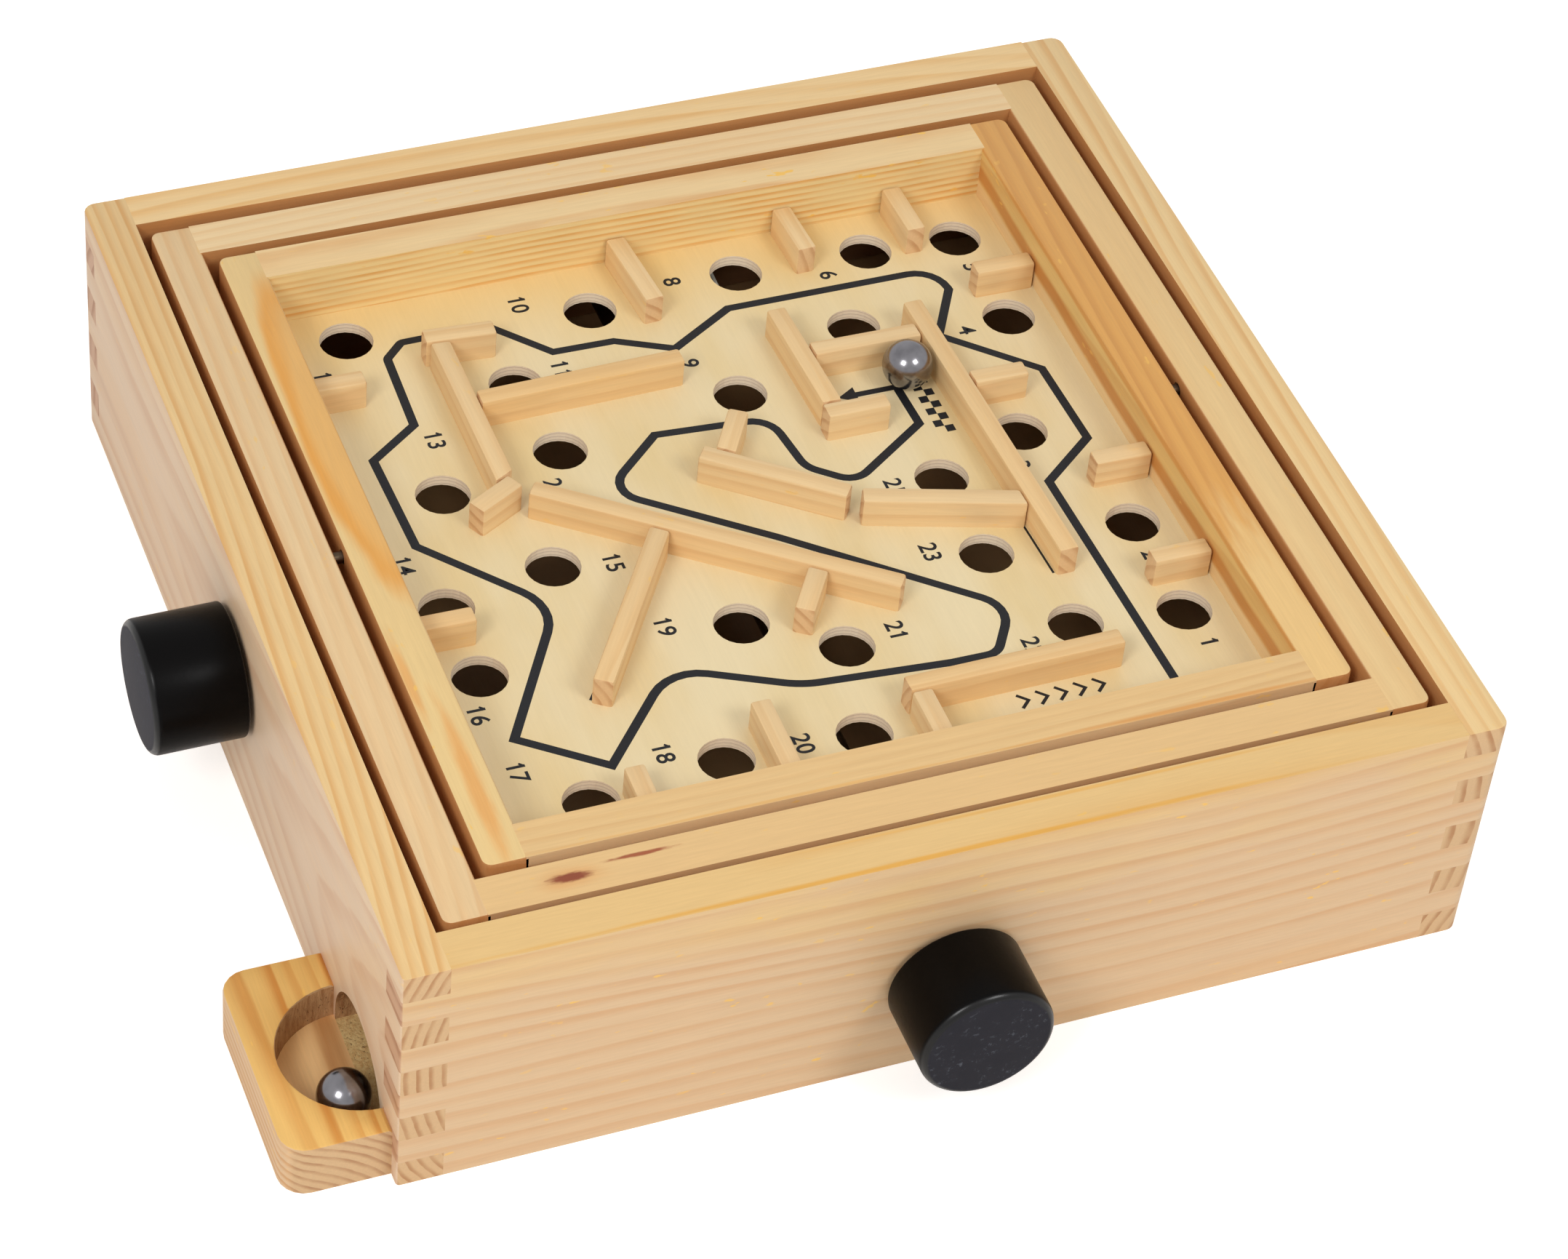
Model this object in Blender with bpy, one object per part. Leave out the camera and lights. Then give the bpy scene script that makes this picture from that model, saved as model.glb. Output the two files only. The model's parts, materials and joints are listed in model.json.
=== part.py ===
"""A wooden ball maze: a finger-jointed box in which a tilting frame carries a tilting tray.

The tray's board has holes and low walls, and a steel ball runs on it. Two knobs turn rods that
cross the box, and a cord wound on each rod pulls the frame or the tray over. A ball that falls
through a hole rolls down a sloping floor and out into a catch block on the left.

Lengths are in metres. X runs to the right, Y to the back and Z up.
"""

import math

import bmesh
import bpy
from mathutils import Matrix, Vector

# %% Sizes

# The box
BOX_SIDE = 0.220
BOX_HEIGHT = 0.0576
BOX_WALL = 0.009
BOX_CORNER_RADIUS = 0.0026
BOX_SHARP_CORNER_RADIUS = 0.0008
FINGERS = 9

# The tilting frame and the tray in it
FRAME_GAP = 0.0022
FRAME_RAIL = 0.0088
FRAME_DEPTH = 0.014
FRAME_TOP_DROP = 0.001
TRAY_GAP = 0.0024
TRAY_RAIL = 0.0085
TRAY_WALL_HEIGHT = 0.0128
RAIL_CORNER_RADIUS = 0.0019

# The pins that they turn on
PIN_DIAMETER = 0.0024
PIN_GRIP = 0.005
PIN_DROP = 0.0036

# The board, its holes and its walls
BOARD_THICKNESS = 0.0025
HOLE_DIAMETER = 0.0112
MAZE_WALL_WIDTH = 0.0042
MAZE_WALL_HEIGHT = 0.0067
BALL_DIAMETER = 0.0105

# The rods and their knobs
ROD_DIAMETER = 0.005
ROD_BLIND_DEPTH = 0.005
ROD_UNDER_BOARD = 0.0053
ROD_CROSSING_GAP = 0.0052
FRAME_ROD_OFFSET = -0.0015
TRAY_ROD_OFFSET = -0.0047
KNOB_DIAMETER = 0.027
FRAME_KNOB_LENGTH = 0.0175
TRAY_KNOB_LENGTH = 0.0189
KNOB_GAP = 0.001
KNOB_ROUNDING = 0.0012
KNOB_BORE_DEPTH = 0.012

# The cords and the screw eyes that hold their ends
CORD_DIAMETER = 0.001
CORD_TURNS = 3
CORD_TURN_GAP = 0.0005
CORD_TAIL = 0.0028
FRAME_CORD_OFFSET = 0.018
TRAY_CORD_OFFSET = 0.015
EYE_WIRE = 0.0009
EYE_BORE = 0.0020
EYE_NECK = 0.0010
EYE_SCREW = 0.0075

# The sloping floor, which is lowest at the front left
FLOOR_THICKNESS = 0.0025
FLOOR_LOW = 0.004
FLOOR_RISE_TO_RIGHT = 0.005
FLOOR_RISE_TO_BACK = 0.003
FLOOR_GROOVE = 0.003

# The catch block and the arch that leads into it
CATCH_REACH = 0.0201
CATCH_LENGTH = 0.0454
CATCH_HEIGHT = 0.0124
CATCH_CORNER_RADIUS = 0.0052
CATCH_FROM_FRONT = 0.0031
CATCH_FLOOR = 0.0038
POCKET_RADIUS = 0.0154
POCKET_FROM_FRONT = 0.0245
ARCH_RADIUS = 0.0144
ARCH_CENTRE_HEIGHT = 0.006

# Clearances and finish
SEAT_GAP = 0.0003
OVERRUN = 0.002
EDGE_ROUNDING = 0.0005
MAZE_WALL_ROUNDING = 0.0006

# Facets round a full circle
HOLE_STEPS = 24
ROD_STEPS = 24
KNOB_STEPS = 48
BALL_STEPS = 28
POCKET_STEPS = 48
EYE_STEPS = 16
EYE_WIRE_STEPS = 8
CORD_STEPS_A_TURN = 24
CORD_STEPS_A_RUN = 28
CORNER_STEPS = 5
EDGE_STEPS = 2

# %% Places on the board, as shares of half the playing field, from its centre

HOLE_SHARES = (
    (-0.826, 0.883), (-0.176, 0.827), (0.248, 0.865), (0.617, 0.856), (0.872, 0.842),
    (-0.455, 0.606), (-0.426, 0.334), (-0.763, 0.260), (0.093, 0.412), (0.474, 0.577),
    (0.889, 0.504), (0.744, 0.077), (0.479, -0.030), (-0.580, -0.063), (-0.879, -0.131),
    (-0.873, -0.375), (-0.199, -0.382), (0.024, -0.530), (0.483, -0.321), (0.888, -0.319),
    (0.602, -0.615), (0.885, -0.647), (-0.750, -0.845), (-0.394, -0.806), (-0.044, -0.821),
)

# Each wall's start and end on its centre line, and the walls that it stops against. A wall that
# stops against another starts or ends on that one's centre line, and is trimmed to its side.
MAZE_WALL_SHARES = (
    ((-0.052, 1.0), (-0.030, 0.738), ()),
    ((0.420, 1.0), (0.429, 0.819), ()),
    ((0.737, 1.0), (0.742, 0.816), ()),
    ((1.0, 0.624), (0.831, 0.626), ()),
    ((-0.658, 0.758), (-0.469, 0.746), ()),
    ((-0.623, 0.752), (-0.623, 0.167), (5, 7)),
    ((-0.727, 0.110), (-0.601, 0.178), ()),
    ((-1.0, 0.652), (-0.849, 0.651), ()),
    ((-0.623, 0.496), (-0.038, 0.510), (6,)),
    ((0.261, 0.615), (0.275, 0.206), (11,)),
    ((0.245, 0.206), (0.417, 0.205), ()),
    ((0.267, 0.440), (0.623, 0.437), (10, 13)),
    ((0.620, 0.548), (0.650, -0.443), ()),
    ((0.630, 0.224), (0.810, 0.222), (13,)),
    ((1.0, -0.150), (0.841, -0.148), ()),
    ((1.0, -0.523), (0.839, -0.522), ()),
    ((-1.0, -0.242), (-0.846, -0.244), ()),
    ((-0.571, 0.142), (0.206, -0.433), ()),
    ((-0.295, -0.062), (-0.622, -0.551), (18,)),
    ((0.035, -0.306), (-0.067, -0.458), (18,)),
    ((-0.117, 0.149), (0.196, -0.090), ()),
    ((-0.069, 0.112), (0.030, 0.271), (21,)),
    ((0.221, -0.113), (0.644, -0.243), (13,)),
    ((0.081, -0.765), (0.654, -0.760), ()),
    ((0.107, -1.0), (0.108, -0.765), (24,)),
    ((-0.284, -1.0), (-0.281, -0.716), ()),
    ((-0.646, -1.0), (-0.644, -0.834), ()),
)

BALL_SHARES = (0.521, 0.329)

# The caught ball's place from the pocket's centre, as shares of the pocket's radius
CAUGHT_BALL_SHARES = (-0.338, -0.545)

# %% Sizes that follow from those above

HALF_BOX = BOX_SIDE / 2
HALF_ROOM = HALF_BOX - BOX_WALL
HALF_FRAME = HALF_ROOM - FRAME_GAP
HALF_FRAME_ROOM = HALF_FRAME - FRAME_RAIL
HALF_TRAY = HALF_FRAME_ROOM - TRAY_GAP
HALF_PLAY = HALF_TRAY - TRAY_RAIL

FRAME_TOP = BOX_HEIGHT - FRAME_TOP_DROP
FRAME_BOTTOM = FRAME_TOP - FRAME_DEPTH
PIVOT_HEIGHT = FRAME_TOP - PIN_DROP
BOARD_TOP = FRAME_TOP - TRAY_WALL_HEIGHT
BOARD_BOTTOM = BOARD_TOP - BOARD_THICKNESS

BALL_RADIUS = BALL_DIAMETER / 2
CORD_RADIUS = CORD_DIAMETER / 2
ROD_RADIUS = ROD_DIAMETER / 2
POCKET_Y = POCKET_FROM_FRONT - HALF_BOX

# The tray's rod runs under the board, and the frame's rod crosses under the tray's
TRAY_ROD_HEIGHT = BOARD_BOTTOM - ROD_UNDER_BOARD - ROD_RADIUS
FRAME_ROD_HEIGHT = TRAY_ROD_HEIGHT - ROD_DIAMETER - ROD_CROSSING_GAP

LEFT_REACH = max(SEAT_GAP + CATCH_REACH, KNOB_GAP + TRAY_KNOB_LENGTH)
FRONT_REACH = KNOB_GAP + FRAME_KNOB_LENGTH

# Colour, roughness and metallic value
FINISHES = {
    "pine": ((0.78, 0.55, 0.30, 1.0), 0.45, 0.0),
    "pale_pine": ((0.82, 0.62, 0.38, 1.0), 0.5, 0.0),
    "plywood": ((0.74, 0.52, 0.31, 1.0), 0.55, 0.0),
    "steel": ((0.55, 0.54, 0.53, 1.0), 0.2, 1.0),
    "black_plastic": ((0.012, 0.012, 0.013, 1.0), 0.35, 0.0),
    "cord": ((0.70, 0.68, 0.62, 1.0), 0.8, 0.0),
}

# %% Helpers

for old in list(bpy.data.objects):
    bpy.data.objects.remove(old, do_unlink=True)


def body(name, carrier, spot):
    """An empty at a body's pivot, given in the box's coordinates, that carries its pieces."""
    empty = bpy.data.objects.new(name, None)
    empty.empty_display_size = BOX_WALL
    bpy.context.collection.objects.link(empty)
    empty.parent = carrier
    empty["spot"] = spot
    start = Vector(carrier["spot"]) if carrier else Vector((0, 0, 0))
    empty.location = Vector(spot) - start
    return empty


def carry(carrier, piece, finish):
    """Give a piece its own material and let a body carry it, where it was built."""
    colour, roughness, metallic = FINISHES[finish]
    material = bpy.data.materials.new(f"{piece.name}_{finish}")
    material.use_nodes = True
    shader = material.node_tree.nodes["Principled BSDF"]
    shader.inputs["Base Color"].default_value = colour
    shader.inputs["Roughness"].default_value = roughness
    shader.inputs["Metallic"].default_value = metallic
    piece.data.materials.clear()
    piece.data.materials.append(material)
    piece.parent = carrier
    piece.location = piece.location - Vector(carrier["spot"])
    return piece


def piece_from(name, bm, spot=(0, 0, 0), turn=0.0):
    """An object from a bmesh, at a spot in the box's coordinates, turned about the vertical."""
    bmesh.ops.recalc_face_normals(bm, faces=bm.faces)
    mesh = bpy.data.meshes.new(name)
    bm.to_mesh(mesh)
    bm.free()
    piece = bpy.data.objects.new(name, mesh)
    piece.location = spot
    piece.rotation_euler.z = turn
    bpy.context.collection.objects.link(piece)
    return piece


def edit(piece, change):
    """Change a finished piece's mesh with a function of its bmesh."""
    bm = bmesh.new()
    bm.from_mesh(piece.data)
    change(bm)
    bm.to_mesh(piece.data)
    bm.free()
    piece.data.update()


def smooth(piece):
    """Shade a round piece smooth up to its real edges."""
    piece.data.shade_smooth()
    piece.data.set_sharp_from_angle(angle=math.radians(35))
    return piece


def cut(piece, tool, how="DIFFERENCE"):
    """Cut a piece with a tool, or keep only what is inside it, and put the tool away."""
    tool.display_type = "WIRE"
    tool.hide_render = True
    boolean = piece.modifiers.new("cut", "BOOLEAN")
    boolean.operation = how
    boolean.solver = "EXACT"
    boolean.object = tool
    bpy.context.view_layer.update()
    with bpy.context.temp_override(object=piece, active_object=piece):
        bpy.ops.object.modifier_apply(modifier=boolean.name)
    bpy.data.objects.remove(tool, do_unlink=True)
    return piece


def block(length, depth, height):
    """A box around its own centre."""
    bm = bmesh.new()
    bmesh.ops.create_cube(bm, size=1)
    bmesh.ops.scale(bm, vec=(length, depth, height), verts=bm.verts)
    return bm


def prism(outline, thickness):
    """An outline of (x, z) points made thickness deep, half to each side of y = 0."""
    bm = bmesh.new()
    face = bm.faces.new([bm.verts.new((x, -thickness / 2, z)) for x, z in outline])
    swept = bmesh.ops.extrude_face_region(bm, geom=[face])
    moved = [item for item in swept["geom"] if isinstance(item, bmesh.types.BMVert)]
    bmesh.ops.translate(bm, vec=(0, thickness, 0), verts=moved)
    return bm


def is_upright(edge):
    return (edge.verts[0].co - edge.verts[1].co).normalized().z ** 2 > 0.5


def is_sharp(edge):
    return len(edge.link_faces) == 2 and edge.calc_face_angle(0) > math.radians(30)


def round_edges(bm, edges, radius, steps):
    """Round some edges, if there are any."""
    if edges:
        bmesh.ops.bevel(
            bm, geom=edges, offset=radius, segments=steps, profile=0.5, affect="EDGES",
            clamp_overlap=True)


def round_uprights(bm, radius, picks):
    """Round the upright edges that picks() chooses by their place."""
    edges = [edge for edge in bm.edges if is_upright(edge) and picks(edge.verts[0].co)]
    round_edges(bm, edges, radius, CORNER_STEPS)


def soften_top(bm, radius, leave=None):
    """Round the sharp edges of the top face, but those that leave() chooses."""
    top = max(vert.co.z for vert in bm.verts)
    level = radius / 10
    edges = [
        edge for edge in bm.edges
        if all(vert.co.z > top - level for vert in edge.verts) and is_sharp(edge)
        and not (leave and leave(edge))]
    round_edges(bm, edges, radius, EDGE_STEPS)


def rod_between(name, start, end, radius, steps=ROD_STEPS):
    """A plain round rod from one point to another."""
    start, end = Vector(start), Vector(end)
    bm = bmesh.new()
    bmesh.ops.create_cone(
        bm, cap_ends=True, cap_tris=False, segments=steps, radius1=radius, radius2=radius,
        depth=(end - start).length)
    turn = (end - start).to_track_quat("Z", "Y").to_matrix().to_4x4()
    bmesh.ops.transform(bm, matrix=turn, verts=bm.verts)
    return smooth(piece_from(name, bm, (start + end) / 2))


def bore_for(start, end, radius, steps=ROD_STEPS):
    """The hole that a rod sits in: the rod, with the seat gap all round and at both ends."""
    start, end = Vector(start), Vector(end)
    past = (end - start).normalized() * SEAT_GAP
    return rod_between("bore", start - past, end + past, radius + SEAT_GAP, steps)


def turned(name, profile, steps):
    """A profile of (radius, height) points turned about the vertical axis."""
    bm = bmesh.new()
    verts = [bm.verts.new((radius, 0, height)) for radius, height in profile]
    edges = [bm.edges.new(pair) for pair in zip(verts, verts[1:] + verts[:1])]
    bmesh.ops.spin(
        bm, geom=verts + edges, cent=(0, 0, 0), axis=(0, 0, 1), angle=math.tau, steps=steps,
        use_merge=True)
    bmesh.ops.remove_doubles(bm, verts=bm.verts, dist=SEAT_GAP / 100)
    return smooth(piece_from(name, bm))


# %% The bodies: the box stands still, and each other one turns or slides

box = body("box_centre", None, (0, 0, 0))
box.location = (LEFT_REACH / 2, FRONT_REACH / 2, 0)
tilt_frame = body("tilt_frame_pivot", box, (0, 0, PIVOT_HEIGHT))
tray = body("tray_pivot", tilt_frame, (0, 0, PIVOT_HEIGHT))
frame_turner = body("frame_rod_axis", box, (FRAME_ROD_OFFSET, -HALF_BOX, FRAME_ROD_HEIGHT))
tray_turner = body("tray_rod_axis", box, (-HALF_BOX, TRAY_ROD_OFFSET, TRAY_ROD_HEIGHT))

# %% Where the rods and pins run, from end to end

FRAME_ROD = (
    (FRAME_ROD_OFFSET, -HALF_BOX - KNOB_GAP - KNOB_BORE_DEPTH, FRAME_ROD_HEIGHT),
    (FRAME_ROD_OFFSET, HALF_ROOM + ROD_BLIND_DEPTH, FRAME_ROD_HEIGHT))
TRAY_ROD = (
    (-HALF_BOX - KNOB_GAP - KNOB_BORE_DEPTH, TRAY_ROD_OFFSET, TRAY_ROD_HEIGHT),
    (HALF_ROOM + ROD_BLIND_DEPTH, TRAY_ROD_OFFSET, TRAY_ROD_HEIGHT))


def pin_run(side, outer, inner, along_x):
    """A pin's two ends: PIN_GRIP into the part outside it and PIN_GRIP into the one inside."""
    ends = (side * (outer + PIN_GRIP), side * (inner - PIN_GRIP))
    if along_x:
        return tuple((end, 0, PIVOT_HEIGHT) for end in ends)
    return tuple((0, end, PIVOT_HEIGHT) for end in ends)


FRONT_PIN = pin_run(-1, HALF_ROOM, HALF_FRAME, False)
BACK_PIN = pin_run(1, HALF_ROOM, HALF_FRAME, False)
LEFT_PIN = pin_run(-1, HALF_FRAME_ROOM, HALF_TRAY, True)
RIGHT_PIN = pin_run(1, HALF_FRAME_ROOM, HALF_TRAY, True)

for name, ends, carrier in (
        ("frame_pin_front", FRONT_PIN, box), ("frame_pin_back", BACK_PIN, box),
        ("tray_pin_left", LEFT_PIN, tilt_frame), ("tray_pin_right", RIGHT_PIN, tilt_frame)):
    carry(carrier, rod_between(name, *ends, PIN_DIAMETER / 2), "steel")

carry(frame_turner, rod_between("frame_rod", *FRAME_ROD, ROD_RADIUS), "steel")
carry(tray_turner, rod_between("tray_rod", *TRAY_ROD, ROD_RADIUS), "steel")

# %% The sloping floor


def floor_plate(name, grow):
    """The floor, sheared up to the right and the back, and made larger all round by grow."""
    half = HALF_ROOM + FLOOR_GROOVE - SEAT_GAP + grow
    bm = block(2 * half, 2 * half, FLOOR_THICKNESS + 2 * grow)
    for vert in bm.verts:
        right = (vert.co.x + HALF_ROOM) / (2 * HALF_ROOM)
        back = (vert.co.y + HALF_ROOM) / (2 * HALF_ROOM)
        vert.co.z += right * FLOOR_RISE_TO_RIGHT + back * FLOOR_RISE_TO_BACK
    return piece_from(name, bm, (0, 0, FLOOR_LOW - FLOOR_THICKNESS / 2))


carry(box, floor_plate("ball_ramp", 0), "plywood")

# %% The box: four boards with finger joints, cut for what sits in them


def comb_outline(through_first):
    """A board's side view, with fingers at both ends.

    A finger reaches the box's outside, and a slot stops short of the other board's inside.
    The lowest level is a finger where through_first is true, and then they alternate.
    """
    right = []
    for level in range(FINGERS):
        is_finger = (level % 2 == 0) == through_first
        reach = HALF_BOX if is_finger else HALF_ROOM - SEAT_GAP
        ease = SEAT_GAP / 2 if is_finger else -SEAT_GAP / 2
        low = BOX_HEIGHT * level / FINGERS + (ease if level > 0 else 0)
        high = BOX_HEIGHT * (level + 1) / FINGERS - (ease if level < FINGERS - 1 else 0)
        right += [(reach, low), (reach, high)]
    left = [(-x, z) for x, z in reversed(right)]
    return right + left


def box_board(name, spot, turn, through_first, cutters):
    """A finger-jointed board, rounded at the box's corners, with its holes and groove cut.

    The front left corner, where the catch block is glued on, is hardly rounded.
    """
    board = piece_from(name, prism(comb_outline(through_first), BOX_WALL), spot, turn)
    rounded = block(BOX_SIDE, BOX_SIDE, BOX_HEIGHT + 2 * OVERRUN)
    round_uprights(rounded, BOX_SHARP_CORNER_RADIUS, lambda place: place.x < 0 and place.y < 0)
    round_uprights(rounded, BOX_CORNER_RADIUS, lambda place: place.x > 0 or place.y > 0)
    cut(board, piece_from("rounded_box", rounded, (0, 0, BOX_HEIGHT / 2)), "INTERSECT")
    for cutter in cutters:
        cut(board, cutter)

    def in_joint(edge):
        reach = min(abs(vert.co.x) for vert in edge.verts)
        far = max(abs(vert.co.x) for vert in edge.verts)
        return not through_first and far - reach < SEAT_GAP and reach > HALF_ROOM - 2 * SEAT_GAP

    edit(board, lambda bm: soften_top(bm, EDGE_ROUNDING, in_joint))
    return carry(box, board, "pine")


def arch_cutter():
    """A round-topped opening with a flat sill, through the left wall."""
    low = math.asin((ARCH_CENTRE_HEIGHT - CATCH_FLOOR) / ARCH_RADIUS)
    steps = POCKET_STEPS // 2
    outline = []
    for step in range(steps + 1):
        angle = -low + (math.pi + 2 * low) * step / steps
        outline.append((
            ARCH_RADIUS * math.cos(angle), ARCH_CENTRE_HEIGHT + ARCH_RADIUS * math.sin(angle)))
    bm = prism(outline, BOX_WALL + 2 * OVERRUN)
    return piece_from("arch", bm, (-HALF_BOX + BOX_WALL / 2, POCKET_Y, 0), math.pi / 2)


WALL_MIDDLE = HALF_BOX - BOX_WALL / 2
PIN_RADIUS = PIN_DIAMETER / 2

box_board(
    "front_wall", (0, -WALL_MIDDLE, 0), 0, False,
    (floor_plate("groove", SEAT_GAP), bore_for(*FRAME_ROD, ROD_RADIUS),
     bore_for(*FRONT_PIN, PIN_RADIUS)))
box_board(
    "back_wall", (0, WALL_MIDDLE, 0), 0, False,
    (floor_plate("groove", SEAT_GAP), bore_for(*FRAME_ROD, ROD_RADIUS),
     bore_for(*BACK_PIN, PIN_RADIUS)))
box_board(
    "left_wall", (-WALL_MIDDLE, 0, 0), math.pi / 2, True,
    (floor_plate("groove", SEAT_GAP), bore_for(*TRAY_ROD, ROD_RADIUS), arch_cutter()))
box_board(
    "right_wall", (WALL_MIDDLE, 0, 0), math.pi / 2, True,
    (floor_plate("groove", SEAT_GAP), bore_for(*TRAY_ROD, ROD_RADIUS)))

# %% The catch block, glued to the left wall round the arch

CATCH_X = -HALF_BOX - SEAT_GAP - CATCH_REACH / 2
CATCH_Y = CATCH_FROM_FRONT + CATCH_LENGTH / 2 - HALF_BOX

catch_shape = block(CATCH_REACH, CATCH_LENGTH, CATCH_HEIGHT)
round_uprights(catch_shape, CATCH_CORNER_RADIUS, lambda place: place.x < 0)
catch_block = piece_from("catch_block", catch_shape, (CATCH_X, CATCH_Y, CATCH_HEIGHT / 2))
pocket = rod_between(
    "pocket", (-HALF_BOX, POCKET_Y, CATCH_FLOOR), (-HALF_BOX, POCKET_Y, CATCH_HEIGHT + OVERRUN),
    POCKET_RADIUS, POCKET_STEPS)
cut(catch_block, pocket)
edit(catch_block, lambda bm: soften_top(bm, EDGE_ROUNDING))
carry(box, catch_block, "pine")

# %% Screw eyes: each a ring on a screw, which turns into the wood above it

EYE_RING = (EYE_BORE + EYE_WIRE) / 2
EYE_DROP = EYE_NECK + EYE_RING + EYE_WIRE / 2


def eye_screw(spot, under):
    """The screw's two ends, over the ring that is centred on spot under a surface."""
    return (spot[0], spot[1], spot[2] + EYE_RING), (spot[0], spot[1], under + EYE_SCREW)


def screw_eye(name, spot, under, along_x, carrier):
    """A screw eye whose bore looks along X or Y."""
    around = [math.tau * step / EYE_WIRE_STEPS for step in range(EYE_WIRE_STEPS)]
    profile = [
        (EYE_RING + EYE_WIRE / 2 * math.cos(turn), EYE_WIRE / 2 * math.sin(turn))
        for turn in around]
    eye = turned(name, profile, EYE_STEPS)
    axis = "Y" if along_x else "X"
    eye.data.transform(Matrix.Rotation(math.pi / 2, 4, axis))
    eye.location = spot
    cut(eye, rod_between("screw", *eye_screw(spot, under), EYE_WIRE / 2, EYE_STEPS), "UNION")
    carry(carrier, smooth(eye), "steel")


# %% The cords

CORD_PITCH = CORD_DIAMETER + CORD_TURN_GAP
WIND_RADIUS = ROD_RADIUS + SEAT_GAP + CORD_RADIUS


def cord_route(rod_place, rod_height, eye_reach, eye_height):
    """A cord seen along its rod: points (across, along the rod, height) and knot at each end.

    The cord comes straight from the eye at -eye_reach, goes under the rod, round it for
    CORD_TURNS turns and on to the eye at +eye_reach. Along the rod it starts at zero.
    """
    centre = Vector((rod_place, rod_height))
    left, right = Vector((-eye_reach, eye_height)), Vector((eye_reach, eye_height))

    def lower_tangent(eye, side):
        arm = eye - centre
        return math.atan2(arm.y, arm.x) + side * math.acos(WIND_RADIUS / arm.length)

    first = lower_tangent(left, 1) % math.tau
    last = lower_tangent(right, -1) % math.tau + CORD_TURNS * math.tau
    steps = round((last - first) / math.tau * CORD_STEPS_A_TURN)
    wound = []
    for step in range(steps + 1):
        angle = first + (last - first) * step / steps
        across = centre.x + WIND_RADIUS * math.cos(angle)
        height = centre.y + WIND_RADIUS * math.sin(angle)
        wound.append((across, CORD_PITCH * (angle - first) / math.tau, height))

    def run(eye, touch, along):
        """Points from past the eye to where the cord meets the rod, but not that last one."""
        way = (Vector(touch) - eye).normalized()
        start = eye - way * CORD_TAIL
        spots = [start.lerp(Vector(touch), n / CORD_STEPS_A_RUN) for n in range(CORD_STEPS_A_RUN)]
        return [(spot.x, along, spot.y) for spot in spots]

    out = run(left, (wound[0][0], wound[0][2]), wound[0][1])
    back = run(right, (wound[-1][0], wound[-1][2]), wound[-1][1])
    return out + wound + back[::-1]


def least_gap(points):
    """The least space between parts of a cord that are half a turn or more apart."""
    apart = CORD_STEPS_A_TURN // 2
    return min(
        (points[first] - points[second]).length - CORD_DIAMETER
        for first in range(len(points)) for second in range(first + apart, len(points)))


def cord(name, points, carrier):
    """A cord as one tube."""
    curve = bpy.data.curves.new(name, "CURVE")
    curve.dimensions = "3D"
    curve.bevel_depth = CORD_RADIUS
    curve.bevel_resolution = 1
    curve.use_fill_caps = True
    spline = curve.splines.new("POLY")
    spline.points.add(len(points) - 1)
    for place, point in zip(spline.points, points):
        place.co = (*point, 1)
    piece = bpy.data.objects.new(name, curve)
    bpy.context.collection.objects.link(piece)
    print(f"{name}: least gap to itself {least_gap(points) * 1000:.2f} mm")
    carry(carrier, piece, "cord")


WOUND_WIDTH = CORD_PITCH * CORD_TURNS
FRAME_EYE_X = HALF_FRAME - FRAME_RAIL / 2
FRAME_EYE_HEIGHT = FRAME_BOTTOM - EYE_DROP
TRAY_EYE_Y = HALF_TRAY - TRAY_RAIL / 2
TRAY_EYE_HEIGHT = BOARD_BOTTOM - EYE_DROP

frame_route = [
    Vector((across, FRAME_CORD_OFFSET - WOUND_WIDTH / 2 + along, height))
    for across, along, height in cord_route(
        FRAME_ROD_OFFSET, FRAME_ROD_HEIGHT, FRAME_EYE_X, FRAME_EYE_HEIGHT)]
tray_route = [
    Vector((TRAY_CORD_OFFSET - WOUND_WIDTH / 2 + along, across, height))
    for across, along, height in cord_route(
        TRAY_ROD_OFFSET, TRAY_ROD_HEIGHT, TRAY_EYE_Y, TRAY_EYE_HEIGHT)]
cord("frame_cord", frame_route, tilt_frame)
cord("tray_cord", tray_route, tray)

LEFT_EYE = (-FRAME_EYE_X, frame_route[0].y, FRAME_EYE_HEIGHT)
RIGHT_EYE = (FRAME_EYE_X, frame_route[-1].y, FRAME_EYE_HEIGHT)
FRONT_EYE = (tray_route[0].x, -TRAY_EYE_Y, TRAY_EYE_HEIGHT)
BACK_EYE = (tray_route[-1].x, TRAY_EYE_Y, TRAY_EYE_HEIGHT)
screw_eye("frame_eye_left", LEFT_EYE, FRAME_BOTTOM, True, tilt_frame)
screw_eye("frame_eye_right", RIGHT_EYE, FRAME_BOTTOM, True, tilt_frame)
screw_eye("tray_eye_front", FRONT_EYE, BOARD_BOTTOM, False, tray)
screw_eye("tray_eye_back", BACK_EYE, BOARD_BOTTOM, False, tray)

# %% The rails of the frame and of the tray


def rail(name, side, outside, width, bottom, across, cutters, carrier):
    """One rail of a square of rails, on its left (-1) or right (1), or front or back if across.

    The left and right rails run full length and have the square's rounded corners; the front
    and back ones fit between them.
    """
    height = FRAME_TOP - bottom
    if across:
        bm = block(2 * (outside - width - SEAT_GAP), width, height)
        spot = (0, side * (outside - width / 2), bottom + height / 2)
    else:
        bm = block(width, 2 * outside, height)
        round_uprights(bm, RAIL_CORNER_RADIUS, lambda place: place.x * side > 0)
        spot = (side * (outside - width / 2), 0, bottom + height / 2)
    piece = piece_from(name, bm, spot)
    for cutter in cutters:
        cut(piece, cutter)

    def in_joint(edge):
        ends = [abs(vert.co.x) for vert in edge.verts]
        return across and min(ends) > outside - width - 2 * SEAT_GAP

    edit(piece, lambda shape: soften_top(shape, EDGE_ROUNDING, in_joint))
    carry(carrier, piece, "pine")


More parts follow.
